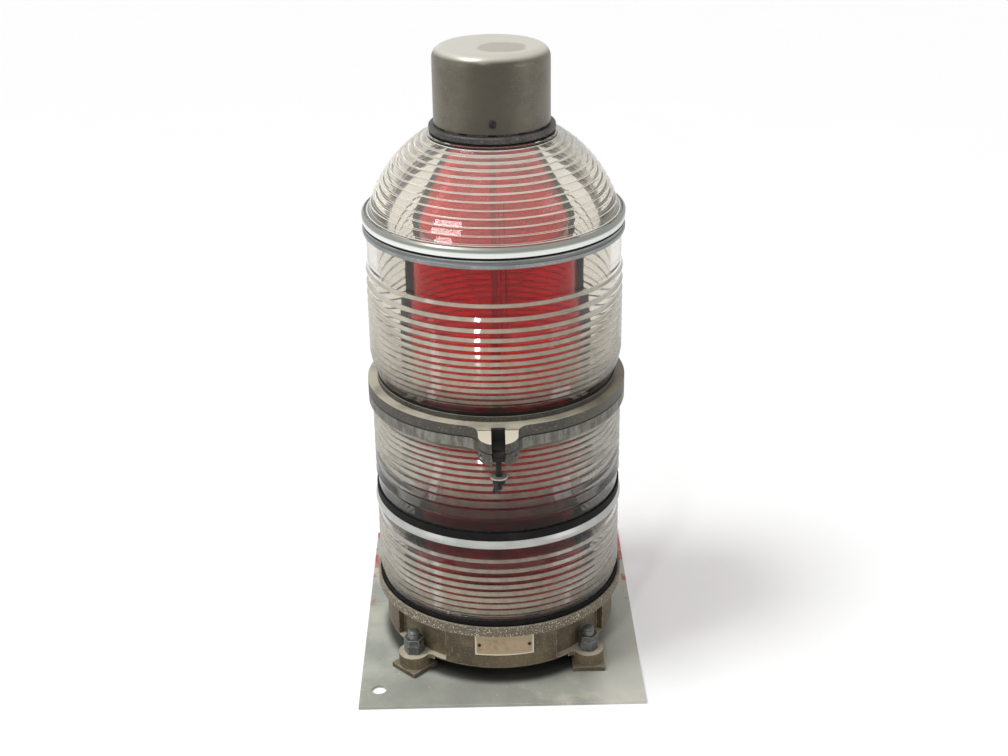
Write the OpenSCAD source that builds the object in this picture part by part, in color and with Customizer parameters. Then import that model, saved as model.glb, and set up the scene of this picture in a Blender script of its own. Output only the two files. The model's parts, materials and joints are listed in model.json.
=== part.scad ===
// Tower beacon light: two stacked ribbed lens units with red filters, on a base bolted to a flat plate.
// Millimetres, +Z up, origin on the lenses' axis at the plate's underside, latch towards -Y, hinge towards +Y.

/* [Mounting plate] */
// Width of the plate
plate_w = 381; // [378:1:420]
// Length of the plate from front to back
plate_l = 457; // [430:1:480]
// Distance of the plate's front edge from the lenses' axis
plate_front = 210; // [190:1:225]
// Thickness of the plate
plate_t = 4.76; // [3:0.01:12]
// Diameter of the two fixing holes in opposite corners
plate_hole_d = 20.5; // [12:0.5:24]
// Distance of a fixing hole's centre from the plate's sides
plate_hole_side = 25; // [20:0.5:32]
// Distance of a fixing hole's centre from the plate's front and back edges
plate_hole_end = 38; // [30:0.5:45]

/* [Base fixings] */
// Diameter of the circle through the four studs
bolt_circle_d = 336.55; // [334:0.05:345]
// Diameter of a stud
stud_d = 15.875; // [12:0.125:17]
// Radial clearance of a stud in the lugs and square washers
stud_clear = 0.8; // [0.3:0.1:1.5]
// Radial clearance drawn between a thread and what is screwed on it
thread_clear = 0.05; // [0.02:0.01:0.1]
// Depth of a stud's end below the plate's underside plane
stud_recess = 0.5; // [0.2:0.1:2]
// Height of a stud above its jam nut
stud_tip = 11; // [4:0.5:15]
// Bevel at a stud's tip
stud_bevel = 1.5; // [0.5:0.1:3]
// Width across flats of the nuts
nut_af = 23.8; // [21:0.1:26]
// Height of a full nut
nut_h = 13.9; // [9:0.1:16]
// Height of a jam nut
jam_h = 9.1; // [6:0.1:12]
// Side of a square washer
pad_w = 44; // [40:0.5:48]
// Thickness of a square washer
pad_t = 7; // [4:0.5:10]

/* [Base casting] */
// Height of the casting's underside above the plate
base_lift = 18; // [14:0.5:20]
// Distance of the casting's side inside the studs' circle
stud_out = 8.275; // [6:0.025:12]
// Thickness of the casting's side
base_wall = 8; // [5:0.5:10]
// Thickness of the casting's floor
base_floor = 8; // [6:0.5:12]
// Height of the casting from its underside to its rim
base_h = 58.5; // [57:0.5:80]
// Bevel at the casting's lower edge
base_bevel = 5; // [3:0.5:8]
// Thickness of the rim round the lens seat
rim_wall = 3; // [1.5:0.5:6]
// Height of the rim
rim_h = 16; // [10:0.5:20]
// Rise of the rim's sloped underside
rim_rise = 2; // [1:0.5:8]
// Depth of the lens seat below the rim's top
seat_depth = 5; // [2:0.5:6]
// Radial room between a lens part and the metal round it
lens_clear = 1; // [0.5:0.1:1.5]
// Room between a nut's corners and the recess behind it
recess_room = 3; // [2:0.5:4]
// Distance of a recess's floor below the lug's top, and of its top below the rim
recess_sink = 0.6; // [0.4:0.1:1.5]
// Half the angle that a recess covers
recess_half = 17; // [14:0.5:20]
// Thickness of a mounting lug
lug_t = 18; // [15:0.5:22]
// Diameter of a mounting lug's boss
lug_boss_d = 42; // [38:0.5:46]
// Width of the arm between a lug and the casting
lug_arm_w = 30; // [24:0.5:36]
// Radius of the blend between an arm and the casting
lug_blend_r = 16; // [8:0.5:20]
// Height of a lug arm's underside above the lug's underside
lug_arm_rise = 5; // [2:0.5:6]
// Radius of the conduit hub's bore, a one inch pipe thread
hub_bore_r = 15.15; // [10:0.05:18]
// Wall of the conduit hub
hub_wall = 8; // [5:0.5:9]
// Reach of the conduit hub's mouth beyond the casting's side
hub_reach = 22; // [14:0.5:30]
// Height of the conduit hub's axis above the casting's underside
hub_rise = 35; // [32:0.5:36]

/* [Nameplate] */
// Length of the bare plate along the casting's side
name_w = 79; // [50:1:90]
// Height of the bare plate
name_h = 31; // [20:0.5:31.5]
// Thickness of the bare plate
name_t = 1.2; // [0.6:0.1:2]
// Gap behind the bare plate
name_gap = 0.2; // [0.1:0.05:0.5]
// Angle from the front to the middle of the bare plate
name_turn = 1.5; // [-8:0.5:8]
// Distance of the plate's lower edge above the casting's underside
name_rise = 25; // [20:0.5:26]
// Distance of a plate screw from the plate's end
name_screw_inset = 6; // [4:0.5:10]
// Diameter of a plate screw's head
name_screw_d = 4.5; // [3:0.1:6]
// Height of a plate screw's head
name_screw_h = 1.6; // [1:0.1:3]

/* [Lenses] */
// Distance of the drum lenses' ridges inside the studs' circle
lens_in = 1.275; // [0.5:0.025:2.5]
// Thickness of a drum lens over its ridges
lens_wall = 15; // [13:0.5:18]
// Depth of the plain belt of a drum lens below its ridges
belt_drop = 2.5; // [1:0.1:5]
// Depth of the plain foot of a drum lens below its ridges
foot_drop = 2; // [1:0.1:5]
// Height of the plain foot of a drum lens
foot_h = 3; // [1:0.5:6]
// Refractive index that the ridge faces are ground for
glass_n = 1.5; // [1.4:0.01:1.7]
// Greatest depth of a ridge
ridge_depth = 3.5; // [2:0.1:5]
// Height of the sloped riser between two ridges
riser_h = 4.8; // [3:0.1:6]
// Height of the ridges far from the belt
ridge_narrow = 8.5; // [7.5:0.1:12]
// Share of the extra height that each ridge keeps from the one nearer the belt
ridge_fade = 0.67; // [0.3:0.01:0.8]
// Height of the lower drum lens
low_drum_h = 112; // [90:1:140]
// Height of the lower drum lens's belt
low_belt_h = 17; // [10:0.5:30]
// Height of the lower drum lens's first ridge
low_ridge_wide = 15; // [10:0.5:20]
// Height of the crown lens above the lower drum
crown_h = 131; // [100:1:150]
// Height of the crown lens's belt
crown_belt_h = 17; // [8:0.5:24]
// Height of the crown lens's first ridge
crown_ridge_wide = 15.4; // [10:0.1:20]
// Height of the upper drum lens
up_drum_h = 193.5; // [150:0.5:220]
// Height of the upper drum lens's belt
up_belt_h = 45; // [30:0.5:60]
// Height of the upper drum lens's first ridge
up_ridge_wide = 17.8; // [12:0.1:24]
// Height over which the upper drum lens draws in towards its foot
up_taper_h = 28; // [15:0.5:60]
// Depth that the upper drum lens draws in at its foot
up_taper_in = 7; // [4:0.1:8]
// Depth of the dome lens's foot below the drum lenses' ridges
dome_foot_in = 2.5; // [0.5:0.1:4]
// Radius of the dome lens's sphere beyond its foot
dome_swell = 3.6; // [3:0.1:8]
// Reach of the dome lens's top beyond the cap's flange
dome_top_out = 5.1; // [3:0.1:8]
// Thickness of the dome lens over its ridges
dome_wall = 10; // [8:0.5:11]
// Height of the dome lens's plain foot
dome_foot_h = 13; // [10:0.5:18]
// Number of ridges on the dome lens
dome_ridges = 12; // [6:1:16]
// Depth of the dome lens's ridges
dome_ridge_depth = 4.5; // [1:0.1:5]

/* [Seals and join rings] */
// Height of the seal under the lower drum lens
foot_seal_h = 11; // [6:0.5:14]
// Height of the metal ring between the lower drum and crown lenses
low_join_h = 11.5; // [6:0.5:18]
// Reach of the metal rings between lenses beyond the ridges
join_out = 1.6; // [1.2:0.1:4]
// Height of the seal under the crown lens
low_join_seal_h = 11.5; // [4:0.5:14]
// Height of the seal over the crown lens
crown_seal_h = 4; // [2:0.5:8]
// Height of the seal under the upper drum lens
drum_seal_h = 4; // [2:0.5:14]
// Height of the metal ring between the upper drum and dome lenses
up_join_h = 11.5; // [5:0.5:14]
// Height of the seal under the dome lens
dome_seal_h = 3; // [2:0.5:10]
// Height of the metal hoop round the dome lens's foot
hoop_h = 12.5; // [8:0.5:14]
// Bevel of the hoop's upper edge
hoop_bevel = 2.5; // [1:0.1:2.6]
// Height of the seal over the dome lens
cap_seal_h = 2; // [1:0.5:5]
// Distance of a seal's edge in from the lens's edge
seal_inset = 0.5; // [0:0.1:1.5]

/* [Hinged rings] */
// Thickness of the lower ring's skirt
ring_wall = 3.6; // [2.5:0.1:10]
// Reach of the hinged rings' ledge inside the lenses' bore
ring_ledge = 12; // [9:0.5:18]
// Depth of the lower ring's skirt round the crown lens
ring_skirt = 9; // [6:0.5:14]
// Thickness of the lower ring over its seal
ring_web = 6; // [5:0.5:12]
// Gap between the two closed rings
split_gap = 0.4; // [0.3:0.1:0.8]
// Thickness of the upper ring's outer flange
flange_t = 14.5; // [11:0.1:16]
// Height of the upper ring's collar above its flange
collar_h = 7.5; // [6:0.5:16]
// Depth of the upper ring's collar below the ridges
collar_in = 8; // [6:0.1:9]
// Height of the upper ring's inner ledge above the closing gap
ledge_t = 13.6; // [10:0.1:15]
// Width of the closing seal
lip_seal_w = 8; // [4:0.5:10]
// Depth of the closing seal's groove
lip_seal_d = 3; // [2:0.1:4]

/* [Hinge] */
// Distance of the hinge axis beyond the rings
hinge_out = 16.4; // [14:0.1:24]
// Radius of the hinge knuckles
knuckle_r = 11; // [9:0.1:12.5]
// Width of the middle knuckle
knuckle_w = 24; // [16:0.5:36]
// Width of an outer knuckle
ear_w = 12; // [8:0.5:20]
// Side gap between knuckles
knuckle_gap = 0.5; // [0.3:0.1:1]
// Diameter of the hinge pin
hinge_pin_d = 9.5; // [6:0.1:12]
// Radial running clearance of the pins
pin_clear = 0.06; // [0.02:0.01:0.1]
// Diameter of a pin's head
pin_head_d = 14; // [13:0.5:18]
// Thickness of a pin's head
pin_head_t = 3; // [2:0.5:5]
// Length of a hinge pin's end past its last knuckle
pin_end = 7; // [5:0.5:10]
// Diameter of the split pin through the hinge pin's end
cotter_d = 2.4; // [1.5:0.1:3]
// Length of the split pin
cotter_l = 18; // [13:0.5:24]

/* [Latch] */
// Sideways place of the latch
latch_x = 0; // [-20:0.5:20]
// Radius of the latch lugs' nose
nose_r = 25; // [20:0.5:30]
// Distance of the latch lugs' nose centre beyond the rings
nose_out = 23.4; // [18:0.1:30]
// Radius of the blend between a latch lug and its ring
nose_blend_r = 20; // [10:0.5:30]
// Thickness of the lower latch lug
latch_lug_t = 16; // [12:0.5:20]
// Depth of the milled seat on the upper latch lug
mill_depth = 1.2; // [0.6:0.1:3]
// Distance of the milled seat's edge beyond the rings
mill_out = 8.4; // [5:0.1:12]
// Width of the latch slot
slot_w = 17; // [14:0.5:20]
// Distance of the slot's end wall beyond the rings
slot_out = 7.4; // [4:0.1:12]
// Distance of the latch pin's axis beyond the rings
latch_out = 35.4; // [33:0.1:38]
// Depth of the latch pin's axis below the rings' split
latch_drop = 8; // [8:0.5:9]
// Diameter of the latch pin
latch_pin_d = 6.4; // [4:0.1:8]
// Radius of the swing bolt's eye
eye_r = 7.4; // [6.5:0.1:7.5]
// Side clearance of the eye in the slot
eye_gap = 0.8; // [0.4:0.1:2]
// Diameter of the swing bolt's shank
shank_d = 7.9; // [6:0.1:9]
// Bevel at the swing bolt's tip
bolt_bevel = 1; // [0.5:0.1:2]
// Length of the swing bolt past its nut
bolt_end = 9; // [7:0.5:20]
// Room between the washer and the upper lug's corner as the bolt swings
swing_clear = 1.5; // [1:0.1:4]
// Radius of the washer
washer_r = 11; // [9.5:0.1:13]
// Thickness of the washer
washer_t = 2; // [1:0.1:3]
// Gap between the washer and the wing nut
nut_gap = 0.3; // [0.3:0.05:0.5]
// Radius of the wing nut's hub at its foot
hub_r = 8; // [6.5:0.1:9]
// Height of the wing nut's hub
hub_h = 8; // [6:0.5:10]
// Reach of a wing's tip from the bolt's axis
wing_reach = 17; // [14:0.5:22]
// Height of the wings
wing_h = 16; // [13:0.5:20]
// Radius of a wing's rounded tip
wing_tip_r = 4; // [3:0.1:5]
// Thickness of the wings
wing_t = 4; // [3:0.1:5]
// Turn of the wings from the straight ahead direction
wing_turn = -22; // [-90:1:90]

/* [Filters] */
// Outer radius of the red filter glass
filter_r = 107; // [100:0.5:112]
// Thickness of the red filter glass
filter_t = 4; // [2:0.5:6]
// Height of the lower filter's foot above the casting's floor
filter_lift = 86; // [74:0.5:90]
// Height of the upper filter's foot above the ring's ledge
up_filter_lift = 14; // [12:0.5:20]
// Depth of the upper filter's top below its lens's top
filter_under = 20; // [10:0.5:30]
// Outer radius of the cone filter's top
cone_top_r = 38; // [34:0.5:48]
// Height of the metal rings that carry the filters
filter_ring_h = 4; // [2:0.5:6]
// Width of a filter ring's inner ledge
filter_ring_w = 6; // [4:0.5:10]
// Width of the straps
strap_w = 10; // [6:0.5:14]
// Thickness of the straps' feet
strap_t = 2; // [1:0.1:3]
// Depth of the straps' uprights
strap_depth = 9; // [4:0.5:10]
// Radial clearance between the filters and the straps
strap_gap = 0.3; // [0.3:0.05:0.6]
// Reach of the straps' lower feet on the casting's floor
strap_foot = 22; // [14:0.5:26]

/* [Vent cap] */
// Radius of the cap's flange
cap_flange_r = 80; // [78:0.5:84]
// Thickness of the cap's flange
cap_flange_t = 9; // [6:0.5:14]
// Rounding of the flange's edge
cap_flange_round = 2.5; // [1:0.1:2.9]
// Radius of the vent cap
cap_r = 73.6; // [72:0.1:76]
// Height of the vent cap
cap_h = 94.5; // [80:0.5:120]
// Rounding of the cap's top edge
cap_round = 15; // [8:0.5:20]
// Thickness of the cap's sheet
cap_t = 2; // [1.5:0.1:2.5]
// Gap between the cap and its flange
cap_gap = 2; // [1:0.1:4]
// Wall of the ring that the cap is screwed to
spigot_t = 3; // [2:0.1:5]
// Height of the ring that the cap is screwed to
spigot_h = 22; // [19:0.5:30]
// Radial clearance of the cap round that ring
spigot_clear = 0.3; // [0.1:0.05:0.5]
// Number of air slots in that ring
air_slots = 12; // [6:3:18]
// Width of an air slot
air_slot_w = 12; // [6:0.5:16]
// Height of an air slot
air_slot_h = 6; // [3:0.5:7]
// Bore of the chimney
chimney_bore_r = 43; // [38:0.5:45]
// Wall of the chimney
chimney_t = 2; // [1:0.1:2.5]
// Height of the chimney above the flange
chimney_h = 62; // [40:0.5:70]
// Thickness of the insect screen over the chimney
screen_t = 1.5; // [1:0.1:3]
// Diameter of the insect screen's holes
screen_hole_d = 7; // [4:0.5:8]
// Spacing of the insect screen's holes
screen_pitch = 10; // [9:0.5:14]
// Height of the cap's screws above the cap's lower edge
cap_screw_rise = 13; // [9:0.5:15]
// Diameter of a cap screw's shank
cap_screw_d = 5; // [3:0.1:6]
// Diameter of a cap screw's head
cap_screw_head_d = 9; // [7:0.5:11]
// Height of a cap screw's head
cap_screw_head_h = 4; // [2:0.5:5]

/* [Lamps] */
// Radius of a lamp's bulb
bulb_r = 63.5; // [50:0.5:68]
// Thickness of a bulb's glass
bulb_t = 1.2; // [0.8:0.1:2]
// Radius of a bulb's neck
bulb_neck_r = 19; // [16:0.5:20]
// Height of a bulb's neck above its collar
bulb_neck_h = 30; // [15:0.5:50]
// Height of a lamp's filament above its collar
light_centre = 130; // [115:0.5:140]
// Radius of a lamp's collar
collar_lamp_r = 30; // [26:0.5:32]
// Thickness of a lamp's collar
collar_lamp_t = 4; // [3:0.1:6]
// Radius of a lamp's shell below the collar
shell_r = 21; // [19.5:0.1:22]
// Length of a lamp's shell below the collar
shell_l = 30; // [20:0.5:40]
// Radius of a filament's ring
filament_r = 15; // [10:0.5:16]
// Part of a turn that a filament's ring covers
filament_sweep = 300; // [180:5:330]
// Radius of a lamp's inner stem
stem_r = 6; // [3:0.5:10]
// Thickness of a filament's ring and arms
wire_d = 1.6; // [1:0.1:2]
// Thickness of a filament's posts
post_d = 2.6; // [2.3:0.1:4]
// Radius of a lampholder's body
holder_r = 29; // [27:0.5:32]
// Height of a lampholder's body
holder_h = 58; // [48:0.5:64]
// Radius of a lampholder's foot
holder_foot_r = 36; // [34:0.5:40]
// Thickness of a lampholder's foot
holder_foot_t = 9; // [6:0.5:14]
// Radial clearance of a lamp's shell in its holder
shell_clear = 0.4; // [0.2:0.1:0.8]
// Thickness of the upper lamp's spider
spider_t = 6; // [4:0.5:9]
// Radius of the spider's middle
spider_hub_r = 40; // [37:0.5:48]
// Width of the spider's arms
spider_arm_w = 22; // [16:0.5:30]
// Radial clearance of the spider's arms in the collar
spider_clear = 1; // [0.5:0.1:3]
// Diameter of the spider's screws
spider_screw_d = 6; // [4:0.1:7]
// Diameter of a spider screw's head
spider_head_d = 10; // [8:0.5:12]
// Height of a spider screw's head
spider_head_h = 4; // [2:0.5:6]
// Thickness of the plate under the lower lampholder
bracket_t = 5; // [3:0.5:8]
// Length of the plate under the lower lampholder
bracket_l = 110; // [90:1:130]
// Width of the plate under the lower lampholder
bracket_w = 76; // [74:1:90]

/* [Wiring] */
// Length of the terminal block
block_l = 64; // [50:1:80]
// Width of the terminal block
block_w = 26; // [20:0.5:34]
// Height of the terminal block
block_h = 22; // [16:0.5:30]
// Distance of the terminal block from the axis
block_out = 104; // [98:0.5:112]
// Turn of the terminal block from the right-hand side
block_turn = 135; // [125:1:145]
// Diameter of a terminal screw's head
terminal_d = 8; // [5:0.5:10]
// Height of a terminal screw's head
terminal_h = 3; // [2:0.5:5]
// Number of terminals
terminals = 4; // [2:1:5]
// Diameter of an insulated lead
lead_d = 5; // [3:0.1:6]
// Spacing of the two leads
lead_space = 16; // [10:0.5:20]
// Radius of a lead's bend
lead_bend_r = 10; // [7:0.5:12]
// Height of the leads' run above the terminal block
lead_rise = 12; // [12:0.5:14]
// Depth of a lead's end below its holder's or block's surface
lead_sink = 4; // [2:0.5:8]

/* [Hidden] */
$fn = 96;

// A cut's reach past the face that it opens
over = 1;
// Depth that the blend of a lug's arm runs into the casting's side, and its height above the underside
blend_sink = 0.5;

// Radii of the casting, the lenses and the rings, from the studs' circle inwards
bolt_r = bolt_circle_d / 2;
base_r = bolt_r - stud_out;
base_bore_r = base_r - base_wall;
lens_r = bolt_r - lens_in;
lens_bore_r = lens_r - lens_wall;
belt_r = lens_r - belt_drop;
foot_r = lens_r - foot_drop;
seat_r = lens_r + lens_clear;
rim_r = seat_r + rim_wall;
ring_r = seat_r + ring_wall;
ring_bore_r = lens_bore_r - ring_ledge;
collar_r = lens_r - collar_in;
join_r = lens_r + join_out;
dome_foot_r = lens_r - dome_foot_in;
hoop_bore_r = dome_foot_r + lens_clear;
dome_r = dome_foot_r + dome_swell;
dome_in_r = dome_r - dome_wall;
dome_top_r = cap_flange_r + dome_top_out;
dome_sunk = sqrt(dome_r * dome_r - dome_foot_r * dome_foot_r);
dome_h = sqrt(dome_r * dome_r - dome_top_r * dome_top_r) - dome_sunk;

// Heights of the stack, from the plate's underside
z_lug = plate_t + pad_t;
z_nut = z_lug + lug_t;
z_jam = z_nut + nut_h;
z_stud_top = z_jam + jam_h + stud_tip;
z_base = plate_t + base_lift;
z_floor = z_base + base_floor;
z_rim = z_base + base_h;
z_rim_top = z_rim + rim_h;
z_seat = z_rim_top - seat_depth;
z_low_drum = z_seat + foot_seal_h;
z_low_join = z_low_drum + low_drum_h;
z_low_seal = z_low_join + low_join_h;
z_crown = z_low_seal + low_join_seal_h;
z_crown_top = z_crown + crown_h;
z_ring_seat = z_crown_top + crown_seal_h;
z_ring = z_ring_seat - ring_skirt;
z_split = z_ring_seat + ring_web;
z_lid = z_split + split_gap;
z_flange = z_lid + flange_t;
z_ledge = z_lid + ledge_t;
z_collar = z_flange + collar_h;
z_up_drum = z_collar + drum_seal_h;
z_up_join = z_up_drum + up_drum_h;
z_dome_seal = z_up_join + up_join_h;
z_dome = z_dome_seal + dome_seal_h;
z_dome_top = z_dome + dome_h;
z_cap_flange = z_dome_top + cap_seal_h;
z_cap_seat = z_cap_flange + cap_flange_t;
z_cap = z_cap_seat + cap_gap;

// Places that several pieces share
stud_hole_r = stud_d / 2 + stud_clear;
plate_mid = plate_l / 2 - plate_front;
plate_hole_at = [plate_w / 2 - plate_hole_side, plate_l / 2 - plate_hole_end];
nut_edge = nut_af / cos(30) / 2;
recess_r = bolt_r - nut_edge - recess_room;
name_r = base_r + name_gap;
hinge_y = ring_r + hinge_out;
ear_at = knuckle_w / 2 + knuckle_gap;
ear_end = ear_at + ear_w;
arm_root = 10;
nose_y = -(ring_r + nose_out);
latch_y = -(ring_r + latch_out);
z_latch = z_split - latch_drop;
eye_w = slot_w - 2 * eye_gap;
seat_rise = latch_drop + split_gap + flange_t - mill_depth;
washer_at = norm([nose_out + nose_r - latch_out, seat_rise]) + swing_clear;
nut_at = washer_at + washer_t + nut_gap;
bolt_l = nut_at + hub_h + bolt_end;
filter_in_r = filter_r - filter_t;
strap_r = filter_r + strap_gap;
strap_ledge_r = lens_bore_r - 2 * lens_clear;
z_low_filter = z_floor + filter_lift;
z_up_filter = z_ledge + up_filter_lift;
z_up_filter_top = z_up_join - filter_under;
z_cone = z_up_filter_top + filter_ring_h;
z_cone_top = z_dome_top - strap_t;
lean = (filter_r - cone_top_r) / (z_cone_top - z_cone);
spigot_r = cap_r - cap_t - spigot_clear;
dome_zc = z_dome - dome_sunk;
z_spider_top = z_ledge + spider_t;
z_low_holder = z_floor + bracket_t;
z_low_lamp = z_low_holder + holder_h + collar_lamp_t;
z_up_lamp = z_spider_top + holder_h + collar_lamp_t;
spider_end_r = lens_bore_r - lens_clear - spider_clear;
spider_screw_r = (ring_bore_r + spider_end_r) / 2;
strap_turns = [0, 90, 180];
spider_turns = [30, 150, 270];
cap_screw_turns = [30, 150, 270];
lug_turns = [45, 135, 225, 315];
pad_turns = [0, 0, 45, 0];
nut_turns = [12, 40, 10, 27];
name_half = name_w / (2 * base_r) * 180 / PI;
name_screw_half = (name_w / 2 - name_screw_inset) / base_r * 180 / PI;
z_lead = z_floor + block_h + lead_rise;

// Ridges of a drum lens: their heights settle from wide to narrow away from the belt, each has a sloped riser, and
// each outer face has the slope that turns light from the belt's middle level
function ridge_pitch(i, wide) = ridge_narrow + (wide - ridge_narrow) * pow(ridge_fade, i);
function ridge_start(i, wide) = i == 0 ? 0 : ridge_start(i - 1, wide) + ridge_pitch(i - 1, wide);
function ridge_count(room, wide, i = 0) =
    ridge_start(i + 1, wide) > room ? i : ridge_count(room, wide, i + 1);
function face_slope(drop) =
    let (s = sin(atan(drop / lens_r))) s / (sqrt(glass_n * glass_n - s * s) - 1);
function ridge_cut(i, belt, wide) =
    let (pitch = ridge_pitch(i, wide), drop = belt + ridge_start(i, wide) + pitch / 2)
    min(ridge_depth, (pitch - riser_h) * face_slope(drop));
function drawn_in(z, run, taper) = taper * max(0, (z - run + up_taper_h) / up_taper_h);
function drum_outline(h, belt, wide, taper) =
    let (run = h - belt, n = ridge_count(run - foot_h, wide), foot_z = ridge_start(n, wide))
    concat(
        [[lens_bore_r, -belt], [belt_r, -belt], [belt_r, 0]],
        [for (i = [0 : n - 1]) let (tip = ridge_start(i, wide) + riser_h, end = ridge_start(i + 1, wide)) each [
            [lens_r - drawn_in(tip, run, taper), tip],
            [lens_r - drawn_in(end, run, taper) - ridge_cut(i, belt, wide), end]
        ]],
        [[foot_r - drawn_in(foot_z, run, taper), foot_z], [foot_r - taper, run], [lens_bore_r, run]]
    );

// Ridges of the dome lens: steps of equal angle on its sphere
function on_dome(r, turn) = [r * cos(turn), dome_zc + r * sin(turn)];
function dome_turn(z) = asin((z - dome_zc) / dome_r);
function dome_outline() =
    let (
        first = dome_turn(z_dome + dome_foot_h),
        last = dome_turn(z_dome_top),
        step = (last - first) / dome_ridges
    )
    concat(
        [[0, z_dome], [dome_foot_r, z_dome], [dome_foot_r, z_dome + dome_foot_h]],
        [for (i = [0 : dome_ridges - 1]) each [
            on_dome(dome_r, first + i * step),
            on_dome(dome_r - dome_ridge_depth, first + (i + 1) * step)
        ]],
        [[(dome_r - dome_ridge_depth) * cos(last), z_dome_top], [0, z_dome_top]]
    );

// A bulb's outline, thinned by skin: a straight neck, a cone that touches the ball, and the ball
function touch_point(p, c, r) =
    let (d = [p[0], p[1] - c], l = norm(d), turn = acos(r / l), a = atan2(d[1], d[0]) + turn)
    [r * cos(a), c + r * sin(a)];

module ring(r_in, r_out, z0, z1) {
    rotate_extrude()
        translate([r_in, z0])
            square([r_out - r_in, z1 - z0]);
}

module rod(r, z0, z1) {
    translate([0, 0, z0])
        cylinder(r = r, h = z1 - z0);
}

module cross_rod(r, x0, x1, y, z) {
    translate([x0, y, z])
        rotate([0, 90, 0])
            cylinder(r = r, h = x1 - x0);
}

module at_lugs() {
    for (turn = lug_turns)
        rotate(turn)
            translate([bolt_r, 0, 0])
                children();
}

module hex_nut(z, h, turn) {
    bevel = nut_edge - nut_af / 2;
    difference() {
        intersection() {
            translate([0, 0, z])
                rotate(turn)
                    cylinder(r = nut_edge, h = h, $fn = 6);
            rotate_extrude()
                polygon([[0, z], [nut_edge - bevel, z], [nut_edge, z + bevel / 2],
                         [nut_edge, z + h - bevel / 2], [nut_edge - bevel, z + h], [0, z + h]]);
        }
        rod(stud_d / 2 + thread_clear, z - over, z + h + over);
    }
}

module drum_lens(z_belt, way, h, belt, wide, taper) {
    color([0.85, 0.84, 0.8, 0.5])
        translate([0, 0, z_belt])
            rotate_extrude()
                polygon([for (p = drum_outline(h, belt, wide, taper)) [p[0], way * p[1]]]);
}

module seal(r_out, z0, z1) {
    color("#1a1a1a")
        ring(lens_bore_r, r_out - seal_inset, z0, z1);
}

module bead_ring(z, h) {
    round_r = h / 2;
    rotate_extrude() {
        translate([lens_bore_r, z])
            square([join_r - round_r - lens_bore_r, h]);
        translate([join_r - round_r, z + round_r])
            circle(r = round_r);
    }
}

module latch_plan() {
    left = latch_x - nose_r;
    right = latch_x + nose_r;
    reach = ring_r + nose_blend_r;
    translate([latch_x, nose_y])
        circle(r = nose_r);
    translate([left, nose_y])
        square([2 * nose_r, nose_out + nose_blend_r]);
    for (side = [[left, left - nose_blend_r], [right, right + nose_blend_r]]) {
        blend_y = -sqrt(reach * reach - side[1] * side[1]);
        meet = [side[1], blend_y] * ring_r / reach;
        difference() {
            polygon([[side[0], blend_y], [side[1], blend_y], meet, [side[0], meet[1] + arm_root]]);
            translate([side[1], blend_y])
                circle(r = nose_blend_r);
        }
    }
}

module latch_slot_plan() {
    translate([latch_x - slot_w / 2, nose_y - nose_r - over])
        square([slot_w, nose_out + nose_r - slot_out + over]);
}

module latch_lug(z0, z1) {
    translate([0, 0, z0])
        linear_extrude(z1 - z0)
            difference() {
                latch_plan();
                latch_slot_plan();
                circle(r = ring_bore_r + arm_root);
            }
}

module knuckle(x0, x1, z0, z1) {
    cross_rod(knuckle_r, x0, x1, hinge_y, z_split);
    translate([x0, ring_r - arm_root, z0])
        cube([x1 - x0, hinge_y - ring_r + arm_root, z1 - z0]);
}

module strap(outline) {
    color("#2b2926")
        for (turn = strap_turns)
            rotate(turn)
                translate([0, strap_w / 2, 0])
                    rotate([90, 0, 0])
                        linear_extrude(strap_w)
                            polygon(outline);
}

module filter_ring(z) {
    color("#5c5a54")
        ring(filter_in_r - filter_ring_w, filter_r, z - filter_ring_h, z);
}

module red_tube(z0, z1) {
    color([0.75, 0.05, 0.08, 0.6])
        ring(filter_in_r, filter_r, z0, z1);
}

module bulb_outline(z, skin) {
    ball_r = bulb_r - skin;
    neck_r = bulb_neck_r - skin;
    neck_top = z + bulb_neck_h;
    centre = z + light_centre;
    touch = touch_point([neck_r, neck_top], centre, ball_r);
    polygon([[0, z], [neck_r, z], [neck_r, neck_top], touch, [0, touch[1]]]);
    intersection() {
        translate([0, centre])
            circle(r = ball_r);
        translate([0, touch[1]])
            square([bulb_r, 2 * bulb_r]);
    }
}

module bulb(z) {
    color([0.95, 0.95, 0.92, 0.4])
        difference() {
            rotate_extrude()
                bulb_outline(z, 0);
            rotate_extrude()
                bulb_outline(z, bulb_t);
            rod(bulb_neck_r - bulb_t, z - over, z + over);
        }
}

module lamp_collar(z) {
    color("#b58b3a")
        difference() {
            union() {
                rod(collar_lamp_r, z - collar_lamp_t, z);
                rod(shell_r, z - collar_lamp_t - shell_l, z);
            }
            rod(bulb_neck_r, z - bulb_t, z + over);
            rod(bulb_neck_r - bulb_t, z - shell_l, z + over);
        }
}

module filament(z) {
    top = z - bulb_t + light_centre;
    root = z - shell_l;
    arm_z = z + bulb_neck_h - wire_d;
    color("#8f8f8c") {
        translate([0, 0, top])
            rotate_extrude(angle = filament_sweep)
                translate([filament_r, 0])
                    circle(d = wire_d);
        for (turn = [0, filament_sweep])
            rotate(turn)
                translate([filament_r, 0, 0])
                    rod(post_d / 2, arm_z - post_d, top + post_d);
        for (turn = [0, filament_sweep])
            rotate(turn)
                translate([0, 0, arm_z])
                    rotate([0, 90, 0])
                        cylinder(d = wire_d, h = filament_r);
        rod(stem_r, root, z + bulb_neck_h);
    }
}

module lampholder(z) {
    color("#e8e2d2")
        difference() {
            union() {
                rod(holder_foot_r, z, z + holder_foot_t);
                rod(holder_r, z, z + holder_h);
            }
            rod(shell_r + shell_clear, z + holder_h - shell_l - shell_clear, z + holder_h + over);
        }
}

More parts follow.
